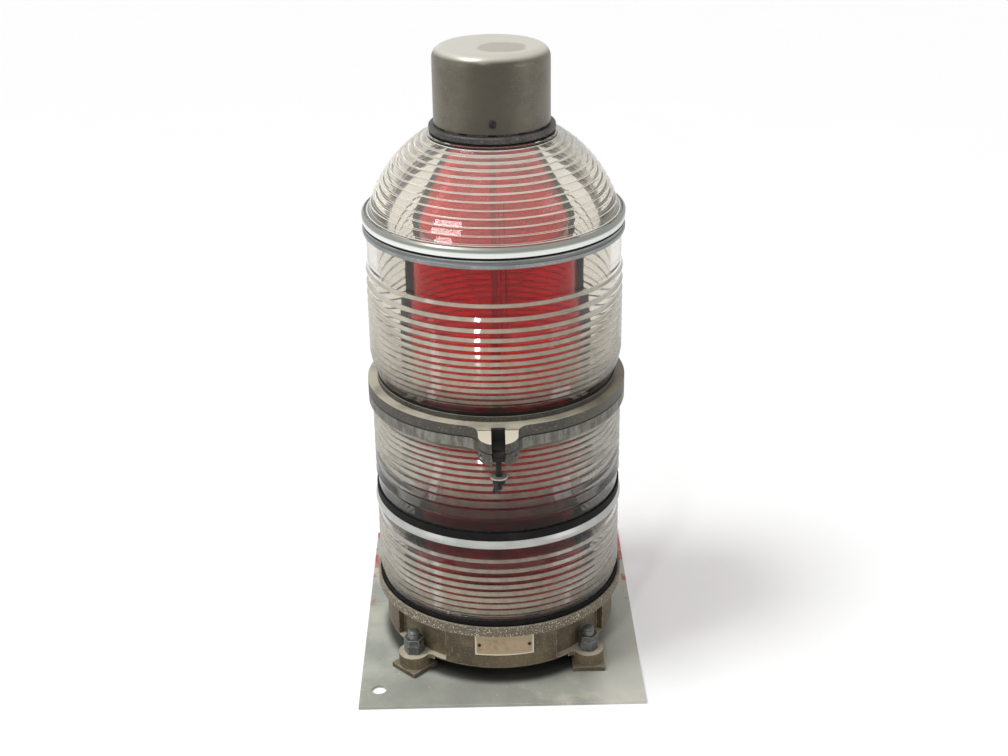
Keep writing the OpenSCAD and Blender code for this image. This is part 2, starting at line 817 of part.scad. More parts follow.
module mount_plate() {
    color("#8d918b")
        difference() {
            translate([-plate_w / 2, -plate_front, 0])
                cube([plate_w, plate_l, plate_t]);
            at_lugs()
                rod(stud_d / 2 + thread_clear, -over, plate_t + over);
            for (side = [-1, 1])
                translate([side * plate_hole_at[0], plate_mid + side * plate_hole_at[1], 0])
                    rod(plate_hole_d / 2, -over, plate_t + over);
        }
}

module pad_washers() {
    color("#6f6a60")
        for (i = [0 : len(lug_turns) - 1])
            rotate(lug_turns[i])
                translate([bolt_r, 0, 0])
                    difference() {
                        rotate(45 + pad_turns[i])
                            translate([-pad_w / 2, -pad_w / 2, plate_t])
                                cube([pad_w, pad_w, pad_t]);
                        rod(stud_hole_r, plate_t - over, z_lug + over);
                    }
}

module mounting_studs() {
    color("#6c6c69")
        at_lugs()
            rotate_extrude()
                polygon([[0, stud_recess], [stud_d / 2, stud_recess], [stud_d / 2, z_stud_top - stud_bevel],
                         [stud_d / 2 - stud_bevel, z_stud_top], [0, z_stud_top]]);
}

module hex_nuts() {
    color("#4d4d4b")
        for (i = [0 : len(lug_turns) - 1])
            rotate(lug_turns[i])
                translate([bolt_r, 0, 0])
                    hex_nut(z_nut, nut_h, nut_turns[i]);
}

module jam_nuts() {
    color("#5a5a57")
        for (i = [0 : len(lug_turns) - 1])
            rotate(lug_turns[i])
                translate([bolt_r, 0, 0])
                    hex_nut(z_jam, jam_h, nut_turns[i] + nut_turns[0] / 2);
}

module lug_arm_plan() {
    root_r = recess_r - base_wall / 2;
    translate([root_r, -lug_arm_w / 2])
        square([bolt_r - root_r, lug_arm_w]);
}

module lug_blend_plan() {
    half = lug_arm_w / 2;
    root_r = recess_r - base_wall / 2;
    side_r = base_r - blend_sink;
    reach = side_r + lug_blend_r;
    blend_x = sqrt(reach * reach - (half + lug_blend_r) * (half + lug_blend_r));
    for (side = [-1, 1])
        difference() {
            polygon([[root_r, 0], [blend_x, side * half], [blend_x, side * (half + lug_blend_r)],
                     [blend_x * side_r / reach, side * (half + lug_blend_r) * side_r / reach]]);
            translate([blend_x, side * (half + lug_blend_r)])
                circle(r = lug_blend_r);
        }
}

module recess_sector(r_in, r_out, z0, z1, half) {
    for (turn = lug_turns)
        rotate(turn - half)
            rotate_extrude(angle = 2 * half)
                translate([r_in, z0])
                    square([r_out - r_in, z1 - z0]);
}

module base_bowl() {
    pocket_r = recess_r - base_wall;
    pocket_half = recess_half + base_wall / recess_r * 180 / PI;
    difference() {
        union() {
            rotate_extrude()
                polygon([
                    [0, z_base], [base_r - base_bevel, z_base], [base_r, z_base + base_bevel],
                    [base_r, z_rim], [rim_r, z_rim + rim_rise], [rim_r, z_rim_top],
                    [seat_r, z_rim_top], [seat_r, z_seat], [base_bore_r, z_seat],
                    [base_bore_r, z_floor], [0, z_floor]
                ]);
            recess_sector(pocket_r, base_r - over, z_floor - base_floor / 2, z_rim, pocket_half);
        }
        recess_sector(recess_r, rim_r + over, z_nut - recess_sink, z_rim - recess_sink, recess_half);
    }
}

module base_casting() {
    color("#6f6852")
        difference() {
            union() {
                base_bowl();
                at_lugs()
                    rod(lug_boss_d / 2, z_lug, z_nut);
                for (turn = lug_turns)
                    rotate(turn) {
                        translate([0, 0, z_lug + lug_arm_rise])
                            linear_extrude(lug_t - lug_arm_rise)
                                lug_arm_plan();
                        translate([0, 0, z_base + blend_sink])
                            linear_extrude(z_nut - z_base - blend_sink)
                                lug_blend_plan();
                    }
                translate([0, base_r + hub_reach, z_base + hub_rise])
                    rotate([90, 0, 0])
                        cylinder(r = hub_bore_r + hub_wall, h = hub_reach + base_wall / 2);
            }
            at_lugs()
                rod(stud_hole_r, z_lug - over, z_nut + over);
            translate([0, base_r + hub_reach + over, z_base + hub_rise])
                rotate([90, 0, 0])
                    cylinder(r = hub_bore_r, h = hub_reach + base_wall * 2);
            for (side = [-1, 1])
                rotate(name_turn - 90 + side * name_screw_half)
                    translate([0, 0, z_base + name_rise + name_h / 2])
                        rotate([0, 90, 0])
                            cylinder(d = name_screw_d / 2, h = base_r + over);
        }
}

module nameplate() {
    color("#b9ab90")
        difference() {
            rotate(name_turn - 90 - name_half)
                rotate_extrude(angle = 2 * name_half)
                    translate([name_r, z_base + name_rise])
                        square([name_t, name_h]);
            for (side = [-1, 1])
                rotate(name_turn - 90 + side * name_screw_half)
                    translate([base_r - over, 0, z_base + name_rise + name_h / 2])
                        rotate([0, 90, 0])
                            cylinder(d = name_screw_d / 2, h = name_t + 2 * over);
        }
}

module nameplate_screws() {
    shank_r = name_screw_d / 4 - thread_clear;
    color("#2e2a24")
        for (side = [-1, 1])
            rotate(name_turn - 90 + side * name_screw_half)
                translate([0, 0, z_base + name_rise + name_h / 2])
                    rotate([0, 90, 0]) {
                        rod(shank_r, base_r - base_wall / 2, name_r + name_t);
                        rod(name_screw_d / 2, name_r + name_t, name_r + name_t + name_screw_h);
                    }
}

module terminal_block() {
    color("#2f2a26")
        rotate(block_turn)
            difference() {
                translate([block_out - block_w / 2, -block_l / 2, z_floor])
                    cube([block_w, block_l, block_h]);
                for (side = [-1, 1])
                    translate([block_out, side * lead_space / 2, z_floor + block_h])
                        rod(lead_d / 2 + thread_clear, -lead_sink, over);
            }
}

module terminal_screws() {
    step = block_l / terminals;
    color("#a8863f")
        rotate(block_turn)
            for (i = [0 : terminals - 1])
                translate([block_out + block_w / 2 - terminal_d / 2, (i + 0.5) * step - block_l / 2, 0])
                    rod(terminal_d / 2, z_floor + block_h, z_floor + block_h + terminal_h);
}

module lower_leads() {
    lead_r = lead_d / 2;
    z_bend = z_lead - lead_bend_r;
    color("#26211d")
        rotate(block_turn)
            for (side = [-1, 1])
                translate([0, side * lead_space / 2, 0]) {
                    translate([block_out, 0, 0])
                        rod(lead_r, z_floor + block_h - lead_sink, z_bend);
                    translate([block_out - lead_bend_r, 0, z_bend])
                        rotate([90, 0, 0])
                            rotate_extrude(angle = 90)
                                translate([lead_bend_r, 0])
                                    circle(r = lead_r);
                    translate([holder_r, 0, z_lead])
                        rotate([0, 90, 0])
                            cylinder(r = lead_r, h = block_out - lead_bend_r - holder_r);
                }
}

module lampholder_plate() {
    color("#77746c")
        translate([-bracket_l / 2, -bracket_w / 2, z_floor])
            cube([bracket_l, bracket_w, bracket_t]);
}

module lower_lampholder() {
    lampholder(z_low_holder);
}

module lower_lamp_collar() {
    lamp_collar(z_low_lamp);
}

module lower_lamp_bulb() {
    bulb(z_low_lamp - bulb_t);
}

module lower_lamp_filament() {
    filament(z_low_lamp);
}

module lower_filter_ring() {
    filter_ring(z_low_filter);
}

module lower_filter() {
    red_tube(z_low_filter, z_ring);
}

module lower_filter_straps() {
    outer = strap_r + strap_depth;
    strap([
        [strap_r, z_floor], [outer + strap_foot, z_floor], [outer + strap_foot, z_floor + strap_t],
        [outer, z_floor + strap_t], [outer, z_ring - strap_t], [strap_ledge_r, z_ring - strap_t],
        [strap_ledge_r, z_ring], [strap_r, z_ring]
    ]);
}

module foot_seal() {
    seal(lens_r, z_seat, z_low_drum);
}

module lower_drum_lens() {
    drum_lens(z_low_join - low_belt_h, -1, low_drum_h, low_belt_h, low_ridge_wide, 0);
}

module lower_join_ring() {
    color("#c9c9c4")
        bead_ring(z_low_join, low_join_h);
}

module lower_join_seal() {
    seal(lens_r, z_low_seal, z_crown);
}

module crown_lens() {
    drum_lens(z_crown + crown_belt_h, 1, crown_h, crown_belt_h, crown_ridge_wide, 0);
}

module crown_seal() {
    seal(lens_r, z_crown_top, z_ring_seat);
}

module hinge_ring() {
    groove_r = (ring_bore_r + ring_r - lip_seal_w) / 2;
    lip_r = lens_bore_r - lens_clear;
    color("#7a7565")
        difference() {
            union() {
                rotate_extrude()
                    polygon([
                        [ring_bore_r, z_ring], [lip_r, z_ring], [lip_r, z_ring_seat], [seat_r, z_ring_seat],
                        [seat_r, z_ring], [ring_r, z_ring], [ring_r, z_split],
                        [groove_r + lip_seal_w, z_split], [groove_r + lip_seal_w, z_split - lip_seal_d],
                        [groove_r, z_split - lip_seal_d], [groove_r, z_split], [ring_bore_r, z_split]
                    ]);
                difference() {
                    latch_lug(z_split - latch_lug_t, z_split);
                    rod(ring_r - lens_clear, z_split - latch_lug_t - over, z_split + over);
                }
                difference() {
                    union() {
                        knuckle(ear_at, ear_end, z_ring, z_split);
                        knuckle(-ear_end, -ear_at, z_ring, z_split);
                    }
                    rod(ring_r - lens_clear, z_ring - over, z_split + over);
                }
            }
            cross_rod(hinge_pin_d / 2 + pin_clear, -ear_end - over, ear_end + over, hinge_y, z_split);
            cross_rod(latch_pin_d / 2 + pin_clear, latch_x - nose_r - over, latch_x + nose_r + over,
                      latch_y, z_latch);
        }
}

module closing_seal() {
    groove_r = (ring_bore_r + ring_r - lip_seal_w) / 2;
    color("#1a1a1a")
        ring(groove_r, groove_r + lip_seal_w, z_split - lip_seal_d, z_split);
}

module hinge_pin() {
    color("#8a8a86")
        difference() {
            union() {
                cross_rod(hinge_pin_d / 2, -ear_end, ear_end + pin_end, hinge_y, z_split);
                cross_rod(pin_head_d / 2, -ear_end - pin_head_t, -ear_end, hinge_y, z_split);
            }
            translate([ear_end + pin_end / 2, hinge_y, 0])
                rod(cotter_d / 2, z_split - cotter_l, z_split + cotter_l);
        }
}

module hinge_cotter() {
    color("#9a988f")
        translate([ear_end + pin_end / 2, hinge_y, 0])
            rod(cotter_d / 2 - thread_clear, z_split - cotter_l / 2, z_split + cotter_l / 2);
}

module latch_pin() {
    half = sqrt(nose_r * nose_r - (latch_out - nose_out) * (latch_out - nose_out)) - over;
    color("#33312d")
        cross_rod(latch_pin_d / 2, latch_x - half, latch_x + half, latch_y, z_latch);
}

module swing_bolt() {
    color("#1d1c1a")
        difference() {
            union() {
                cross_rod(eye_r, latch_x - eye_w / 2, latch_x + eye_w / 2, latch_y, z_latch);
                translate([latch_x, latch_y, z_latch - bolt_l])
                    rotate_extrude()
                        polygon([[0, 0], [shank_d / 2 - bolt_bevel, 0], [shank_d / 2, bolt_bevel],
                                 [shank_d / 2, bolt_l - eye_r / 2], [0, bolt_l - eye_r / 2]]);
            }
            cross_rod(latch_pin_d / 2 + pin_clear, latch_x - slot_w, latch_x + slot_w, latch_y, z_latch);
        }
}

module latch_washer() {
    color("#55524b")
        translate([latch_x, latch_y, z_latch - washer_at - washer_t])
            ring(shank_d / 2 + pin_clear, washer_r, 0, washer_t);
}

module wing_nut() {
    z_hub = z_latch - nut_at;
    tip_x = wing_reach - wing_tip_r;
    neck = shank_d / 2 + wing_t / 2;
    color("#24221f")
        translate([latch_x, latch_y, z_hub])
            rotate(wing_turn + 90)
                difference() {
                    union() {
                        rod(hub_r, -hub_h, 0);
                        for (side = [0, 180])
                            rotate(side)
                                translate([0, wing_t / 2, 0])
                                    rotate([90, 0, 0])
                                        linear_extrude(wing_t) {
                                            polygon([[neck - wing_t, -over], [hub_r, -over],
                                                     [wing_reach, wing_tip_r - wing_h],
                                                     [tip_x - wing_tip_r, wing_tip_r - wing_h],
                                                     [neck - wing_t, -hub_h]]);
                                            translate([tip_x, wing_tip_r - wing_h])
                                                circle(r = wing_tip_r);
                                        }
                    }
                    rod(shank_d / 2 + pin_clear, -wing_h - over, over);
                }
}

module lid_ring() {
    lip_r = lens_bore_r - lens_clear;
    color("#8b8676")
        difference() {
            union() {
                rotate_extrude()
                    polygon([
                        [ring_bore_r, z_lid], [ring_r, z_lid], [ring_r, z_flange], [collar_r, z_flange],
                        [collar_r, z_collar], [lip_r, z_collar], [lip_r, z_ledge], [ring_bore_r, z_ledge]
                    ]);
                difference() {
                    union() {
                        latch_lug(z_lid, z_flange);
                        knuckle(-knuckle_w / 2, knuckle_w / 2, z_lid, z_flange);
                    }
                    rod(ring_r - lens_clear, z_lid - over, z_flange + over);
                }
            }
            translate([latch_x - 2 * nose_r, nose_y - 2 * nose_r, z_flange - mill_depth])
                cube([4 * nose_r, nose_out + 2 * nose_r - mill_out, mill_depth + over]);
            cross_rod(hinge_pin_d / 2 + pin_clear, -knuckle_w, knuckle_w, hinge_y, z_split);
            for (turn = spider_turns)
                rotate(turn)
                    translate([spider_screw_r, 0, 0])
                        rod(spider_screw_d / 2 + thread_clear, z_lid - over, z_ledge + over);
        }
}

module lamp_spider() {
    color("#777269")
        difference() {
            union() {
                rod(spider_hub_r, z_ledge, z_spider_top);
                for (turn = spider_turns)
                    rotate(turn)
                        intersection() {
                            translate([0, -spider_arm_w / 2, z_ledge])
                                cube([spider_end_r, spider_arm_w, spider_t]);
                            rod(spider_end_r, z_ledge, z_spider_top);
                        }
            }
            for (turn = spider_turns)
                rotate(turn)
                    translate([spider_screw_r, 0, 0])
                        rod(spider_screw_d / 2 + thread_clear, z_ledge - over, z_spider_top + over);
        }
}

module spider_screws() {
    color("#8f8d86")
        for (turn = spider_turns)
            rotate(turn)
                translate([spider_screw_r, 0, 0]) {
                    rod(spider_screw_d / 2, z_lid + over, z_spider_top);
                    rod(spider_head_d / 2, z_spider_top, z_spider_top + spider_head_h);
                }
}

module upper_lampholder() {
    lampholder(z_spider_top);
}

module upper_lamp_collar() {
    lamp_collar(z_up_lamp);
}

module upper_lamp_bulb() {
    bulb(z_up_lamp - bulb_t);
}

module upper_lamp_filament() {
    filament(z_up_lamp);
}

module upper_filter_ring() {
    filter_ring(z_up_filter);
}

module upper_filter() {
    red_tube(z_up_filter, z_up_filter_top);
}

module filter_joint_ring() {
    color("#5c5a54")
        ring(filter_in_r, filter_r, z_up_filter_top, z_cone);
}

module cone_filter() {
    color([0.75, 0.05, 0.08, 0.6])
        rotate_extrude()
            polygon([[filter_in_r, z_cone], [filter_r, z_cone], [cone_top_r, z_cone_top],
                     [cone_top_r - filter_t, z_cone_top]]);
}

module upper_filter_straps() {
    outer = strap_r + strap_depth;
    top_r = cone_top_r + strap_gap;
    foot_z = z_cap_flange - strap_t;
    drop = strap_t * sqrt(1 + lean * lean);
    foot_r = sqrt(dome_in_r * dome_in_r - (z_cap_flange - dome_zc) * (z_cap_flange - dome_zc)) - lens_clear;
    strap([
        [strap_r, z_ledge], [strap_ledge_r, z_ledge], [strap_ledge_r, z_ledge + strap_t],
        [outer, z_ledge + strap_t], [outer, z_cone],
        [top_r + drop + (z_cone_top - foot_z) * lean, foot_z],
        [foot_r, foot_z], [foot_r, z_cap_flange], [top_r, z_cap_flange], [top_r, z_cone_top],
        [strap_r, z_cone]
    ]);
}

module drum_seal() {
    seal(collar_r, z_collar, z_up_drum);
}

module upper_drum_lens() {
    drum_lens(z_up_join - up_belt_h, -1, up_drum_h, up_belt_h, up_ridge_wide, up_taper_in);
}

module upper_join_ring() {
    color("#8e9294")
        bead_ring(z_up_join, up_join_h);
}

module dome_seal() {
    seal(join_r, z_dome_seal, z_dome);
}

module dome_hoop() {
    color("#c4c6c4")
        rotate_extrude()
            polygon([[hoop_bore_r, z_dome], [join_r, z_dome], [join_r, z_dome + hoop_h - hoop_bevel],
                     [join_r - hoop_bevel, z_dome + hoop_h], [hoop_bore_r, z_dome + hoop_h]]);
}

module dome_lens() {
    color([0.85, 0.84, 0.8, 0.5])
        rotate_extrude()
            intersection() {
                difference() {
                    polygon(dome_outline());
                    translate([0, dome_zc])
                        circle(r = dome_in_r);
                }
                translate([0, z_dome])
                    square([dome_r, dome_h]);
            }
}

module cap_seal() {
    inner = sqrt(dome_in_r * dome_in_r - (z_dome_top - dome_zc) * (z_dome_top - dome_zc));
    color("#1a1a1a")
        ring(inner, cap_flange_r - seal_inset, z_dome_top, z_cap_flange);
}

module cap_flange() {
    edge = cap_flange_r - cap_flange_round;
    color("#4b4a47")
        difference() {
            union() {
                rotate_extrude() {
                    translate([chimney_bore_r, z_cap_flange])
                        square([edge - chimney_bore_r, cap_flange_t]);
                    translate([chimney_bore_r, z_cap_flange + cap_flange_round])
                        square([cap_flange_r - chimney_bore_r, cap_flange_t - 2 * cap_flange_round]);
                    for (z = [z_cap_flange + cap_flange_round, z_cap_seat - cap_flange_round])
                        translate([edge, z])
                            circle(r = cap_flange_round);
                }
                ring(spigot_r - spigot_t, spigot_r, z_cap_flange + cap_flange_round, z_cap_seat + spigot_h);
            }
            for (i = [0 : air_slots - 1])
                rotate(i * 360 / air_slots)
                    translate([spigot_r - spigot_t - over, -air_slot_w / 2, z_cap_seat])
                        cube([spigot_t + 2 * over, air_slot_w, air_slot_h]);
            at_cap_screws()
                rod(cap_screw_d / 2 + thread_clear, spigot_r - spigot_t - over, spigot_r + over);
        }
}

module chimney() {
    color("#4b4a47")
        ring(chimney_bore_r, chimney_bore_r + chimney_t, z_cap_seat, z_cap_seat + chimney_h);
}

module at_cap_screws() {
    for (turn = cap_screw_turns)
        translate([0, 0, z_cap + cap_screw_rise])
            rotate([0, 90, turn])
                children();
}

module vent_screen() {
    z = z_cap_seat + chimney_h;
    rows = floor((chimney_bore_r - screen_hole_d / 2) / screen_pitch);
    color("#55534d")
        difference() {
            rod(chimney_bore_r + chimney_t, z, z + screen_t);
            for (i = [-rows : rows], j = [-rows : rows])
                if (norm([i, j]) * screen_pitch < chimney_bore_r - screen_hole_d / 2)
                    translate([i * screen_pitch, j * screen_pitch, 0])
                        rod(screen_hole_d / 2, z - over, z + screen_t + over);
        }
}

module cap_outline(skin) {
    r = cap_r - skin;
    top = z_cap + cap_h - skin;
    round_r = cap_round - skin;
    translate([0, z_cap - (skin > 0 ? over : 0)])
        square([r, top - z_cap - round_r + (skin > 0 ? over : 0)]);
    translate([0, top - round_r])
        square([r - round_r, round_r]);
    intersection() {
        translate([r - round_r, top - round_r])
            circle(r = round_r);
        translate([0, top - round_r])
            square([r, round_r]);
    }
}

module vent_cap() {
    color("#8c887b")
        difference() {
            rotate_extrude()
                cap_outline(0);
            rotate_extrude()
                cap_outline(cap_t);
            at_cap_screws()
                rod(cap_screw_d / 2 + thread_clear, 0, cap_r + over);
        }
}

module cap_screws() {
    color("#2b2a28")
        at_cap_screws() {
            rod(cap_screw_d / 2, spigot_r - spigot_t, cap_r);
            rod(cap_screw_head_d / 2, cap_r, cap_r + cap_screw_head_h);
        }
}

mount_plate();
pad_washers();
mounting_studs();
hex_nuts();
jam_nuts();
base_casting();
nameplate();
nameplate_screws();
terminal_block();
terminal_screws();
lower_leads();
lampholder_plate();
lower_lampholder();
lower_lamp_collar();
lower_lamp_bulb();
lower_lamp_filament();
lower_filter_ring();
lower_filter();
lower_filter_straps();
foot_seal();
lower_drum_lens();
lower_join_ring();
lower_join_seal();
crown_lens();
crown_seal();
hinge_ring();
closing_seal();
hinge_pin();
hinge_cotter();
latch_pin();
swing_bolt();
latch_washer();
wing_nut();
lid_ring();
lamp_spider();
spider_screws();
upper_lampholder();
upper_lamp_collar();
upper_lamp_bulb();
upper_lamp_filament();
upper_filter_ring();
upper_filter();
filter_joint_ring();
cone_filter();
upper_filter_straps();
drum_seal();
upper_drum_lens();
upper_join_ring();
dome_seal();
dome_hoop();
dome_lens();
cap_seal();
cap_flange();
chimney();
vent_screen();
vent_cap();
cap_screws();
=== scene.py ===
"""Looks of a tower beacon light: ribbed clear lenses over red filters, a hinged middle ring and a cast base.

Everything is in metres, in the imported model's frame. Solids that are right stay and get a finish. Glass,
castings, fixings and trim are modelled again with rounded edges, threads and slots, and stand for their
solids.
"""
import json
import math

import bpy
from mathutils import Matrix, Vector


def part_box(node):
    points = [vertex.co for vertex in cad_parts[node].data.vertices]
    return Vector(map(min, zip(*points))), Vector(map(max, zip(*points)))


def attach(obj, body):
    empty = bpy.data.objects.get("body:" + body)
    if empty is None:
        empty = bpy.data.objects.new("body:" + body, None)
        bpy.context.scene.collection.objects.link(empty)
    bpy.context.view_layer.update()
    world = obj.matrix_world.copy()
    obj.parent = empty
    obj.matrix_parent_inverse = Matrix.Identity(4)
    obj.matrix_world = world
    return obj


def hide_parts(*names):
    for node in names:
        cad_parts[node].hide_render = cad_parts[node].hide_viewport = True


MM = 0.001

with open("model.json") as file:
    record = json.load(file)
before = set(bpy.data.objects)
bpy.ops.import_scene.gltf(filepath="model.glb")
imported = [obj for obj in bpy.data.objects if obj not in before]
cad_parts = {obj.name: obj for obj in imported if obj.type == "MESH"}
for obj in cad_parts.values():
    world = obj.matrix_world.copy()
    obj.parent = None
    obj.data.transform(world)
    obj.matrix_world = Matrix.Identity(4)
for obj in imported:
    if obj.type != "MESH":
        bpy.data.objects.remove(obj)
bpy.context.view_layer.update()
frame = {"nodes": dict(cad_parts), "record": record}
body_of = {node: body for body, nodes in frame["record"]["behaviour"]["bodies"].items() for node in nodes}
slot_of = {row["node"]: row["material_slot"] for row in frame["record"]["subparts"]}

# The photograph's camera: 1008 by 756 pixels and its focal length in pixels
PICTURE_WIDE = 1008
FOCAL_PIXELS = 1522.6
CAMERA_AT = (-11.13 * MM, -1866.53 * MM, 1226.98 * MM)
CAMERA_DOWN = math.radians(24.34)
CAMERA_YAW = math.radians(-0.66)
CAMERA_ROLL = math.radians(-0.82)
SENSOR_MM = 36

# Drum lenses of pressed glass
LENS_STEPS = 256
GLASS_INDEX = 1.5
LENS_WALL = 15 * MM
BELT_DROP = 2.5 * MM
FOOT_DROP = 2 * MM
FOOT_TALL = 3 * MM
TAPER_TALL = 28 * MM
RIDGE_DEPTH = 3.5 * MM
RISER_TALL = 4.8 * MM
RIDGE_NARROW = 8.5 * MM
RIDGE_FADE = 0.67
LENS_ROUNDING = 0.7 * MM

# Dome lens
DOME_RIDGES = 12
DOME_RIDGE_DEPTH = 4.5 * MM
DOME_WALL = 10 * MM
DOME_SWELL = 3.6 * MM
DOME_FOOT_TALL = 13 * MM
DOME_FROM = 606 * MM
DOME_ROUNDING = 0.6 * MM
DOME_INNER_STEPS = 24

# Heights in mm up the glass, from its foot to its top
GLASS_REACH = (100, 740)
# Height, and the light that the glass lets through: grime inside, and painted shade in the dark bands by the
# rings
GRIME_AND_PAINTED_SHADE = [
    (103, 0.34), (135, 0.62), (190, 0.60), (200, 0.34), (215, 0.30), (240, 0.16), (266, 0.22), (300, 0.60),
    (369, 0.72), (404, 0.08), (420, 0.20), (440, 0.74), (500, 0.80), (604, 0.78), (615, 0.90),
]
# Height, and the dust's colour: its darker bands by the rings are painted shade, and its near white on the
# dome is for painted highlights
DUST_AND_PAINTED_LIGHT = [
    (103, (92, 85, 73)), (130, (122, 115, 99)), (190, (120, 113, 98)), (215, (108, 102, 89)),
    (240, (72, 68, 60)), (285, (108, 103, 91)), (310, (134, 128, 113)), (369, (140, 134, 118)),
    (406, (80, 74, 63)), (435, (124, 117, 100)), (470, (140, 133, 115)), (604, (150, 143, 124)),
    (612, (228, 227, 219)), (730, (232, 231, 223)),
]
# Height, and the share of what looks up that dust covers
DUST_COVER = [
    (103, 0.60), (130, 0.80), (200, 0.75), (238, 0.20), (280, 0.35), (310, 0.78), (369, 0.82), (406, 0.45),
    (440, 0.80), (604, 0.86), (612, 0.10), (730, 0.16),
]

# Hinged rings and the base's rim
SKIRT_RADIUS = 174 * MM
SLOT_HALF = 8.6 * MM
COTTER_HALF = 9 * MM
MILLED_UP = 13.7 * MM
LATCH_SEAT_FROM = 179 * MM
RIM_FROM = 80 * MM

# Rolled rings between the lenses
RING_DEEP = 16.6 * MM
RING_STEPS = 192

# Spun vent cap and its screws' slots
CAP_SHEET = 2 * MM
CAP_SHOULDER = 15 * MM
CAP_STEPS = 160
SHOULDER_STEPS = 12
SCREW_SLOT = (1.4 * MM, 3 * MM, 12 * MM)

# Studs
STUD_RADIUS = 7.9375 * MM
STUD_STEPS = 32
THREAD_PITCH = 2.31 * MM
THREAD_DEEP = 0.9 * MM
THREAD_FROM = 1 * MM
THREAD_SHORT = 5 * MM
# Domed end: shares of the radius, and how far below the tip
STUD_DOME = [(1, 3.5 * MM), (0.82, 1.4 * MM), (0.45, 0.4 * MM)]

# Loose points closer than this are one point
MERGE = 1e-6

# Rays that show the white studio: straight from the camera, off metal, and through glass
RAYS_SEEN = ("Is Camera Ray", "Is Glossy Ray", "Is Transmission Ray")
FLOOR_RADIUS = 9


def srgb(red, green, blue):
    """A colour as a paint chart gives it, 0 to 255, as the shader's linear values."""
    parts = [v / 255 for v in (red, green, blue)]
    return tuple(v / 12.92 if v <= 0.04045 else ((v + 0.055) / 1.055) ** 2.4 for v in parts) + (1.0,)


class Wire:
    """A shader socket. Sums and products of wires and numbers add the Math nodes that work them out."""

    def __init__(self, tree, socket=None):
        self.tree = tree
        self.socket = socket

    def node(self, kind, settings=(), inputs=(), out=0):
        """Adds any node: its settings, then its sockets' values or wires. Gives one output's wire."""
        made = self.tree.nodes.new("ShaderNode" + kind)
        for setting, value in dict(settings).items():
            if setting == "stops":
                ramp = made.color_ramp
                for place, colour in value[1:-1]:
                    ramp.elements.new(place)
                for element, (place, colour) in zip(ramp.elements, value):
                    element.position = place
                    element.color = colour
            else:
                setattr(made, setting, value)
        for place, value in dict(inputs).items():
            if isinstance(value, Wire):
                self.tree.links.new(value.socket, made.inputs[place])
            else:
                made.inputs[place].default_value = value
        return Wire(self.tree, made.outputs[out])

    def maths(self, operation, first, second):
        return self.node("Math", {"operation": operation}, {0: first, 1: second})

    def __add__(self, other):
        return self.maths("ADD", self, other)

    def __sub__(self, other):
        return self.maths("SUBTRACT", self, other)

    def __mul__(self, other):
        return self.maths("MULTIPLY", self, other)

    def __truediv__(self, other):
        return self.maths("DIVIDE", self, other)

    def __rsub__(self, other):
        return self.maths("SUBTRACT", other, self)

    def __rtruediv__(self, other):
        return self.maths("DIVIDE", other, self)

    def __abs__(self):
        return self.maths("ABSOLUTE", self, 0.0)

    __radd__ = __add__
    __rmul__ = __mul__


def new_finish(name):
    """An empty material, and the wire that carries the place on the piece."""
    material = bpy.data.materials.new(name)
    material.use_nodes = True
    material.node_tree.nodes.clear()
    return material, Wire(material.node_tree).node("TexCoord", out="Object")


def surface(wire, shader):
    """Sends a shader to the material's output."""
    output = wire.tree.nodes.new("ShaderNodeOutputMaterial")
    wire.tree.links.new(shader.socket, output.inputs["Surface"])


def noise(place, scale, detail=3.0, rough=0.55, stretch=(1, 1, 1)):
    """Soft cloudy variation from 0 to 1, so many times a metre."""
    if stretch != (1, 1, 1):
        place = place.node("Mapping", {"vector_type": "POINT"}, {"Vector": place, "Scale": stretch})
    return place.node("TexNoise", {}, {"Vector": place, "Scale": scale, "Detail": detail, "Roughness": rough})


def between(value, low, high):
    """0 below low, 1 above high, and a soft step between them."""
    return value.node("MapRange", {"interpolation_type": "SMOOTHSTEP"}, {0: value, 1: low, 2: high})


def blend(share, first, second):
    """One colour going over into another."""
    return share.node("Mix", {"data_type": "RGBA"}, {0: share, 6: first, 7: second}, out=2)


def bumped(height, strength, depth):
    """A normal that follows a height."""
    return height.node("Bump", {}, {"Height": height, "Strength": strength, "Distance": depth})


def edges(place, width):
    """1 on a piece's corners and edges, 0 on its open faces."""
    rounded = place.node("Bevel", {"samples": 4}, {"Radius": width})
    flat = place.node("NewGeometry", out="Normal")
    along = place.node("VectorMath", {"operation": "DOT_PRODUCT"}, {0: rounded, 1: flat}, out="Value")
    return between(1 - along, 0.005, 0.12)


def facing_up(place, low, high):
    """How far a surface looks up, 0 to 1, in the piece's own frame."""
    normal = place.node("TexCoord", out="Normal")
    return between(place.node("SeparateXYZ", (), {0: normal}, out="Z"), low, high)


def axis(place, letter):
    """One coordinate of the place on the piece, in metres."""
    return place.node("SeparateXYZ", (), {0: place}, out=letter)


def from_axis(place):
    """The distance from the lenses' axis, in metres."""
    level = place.node("VectorMath", {"operation": "MULTIPLY"}, {0: place, 1: (1, 1, 0)})
    return place.node("VectorMath", {"operation": "LENGTH"}, {0: level}, out="Value")


def near(value, middle, reach):
    """1 close to a middle value, 0 beyond its reach."""
    return 1 - between(abs(value - middle), 0.8 * reach, reach)


def either(first, second):
    """The larger of two shares."""
    return first.maths("MAXIMUM", first, second)


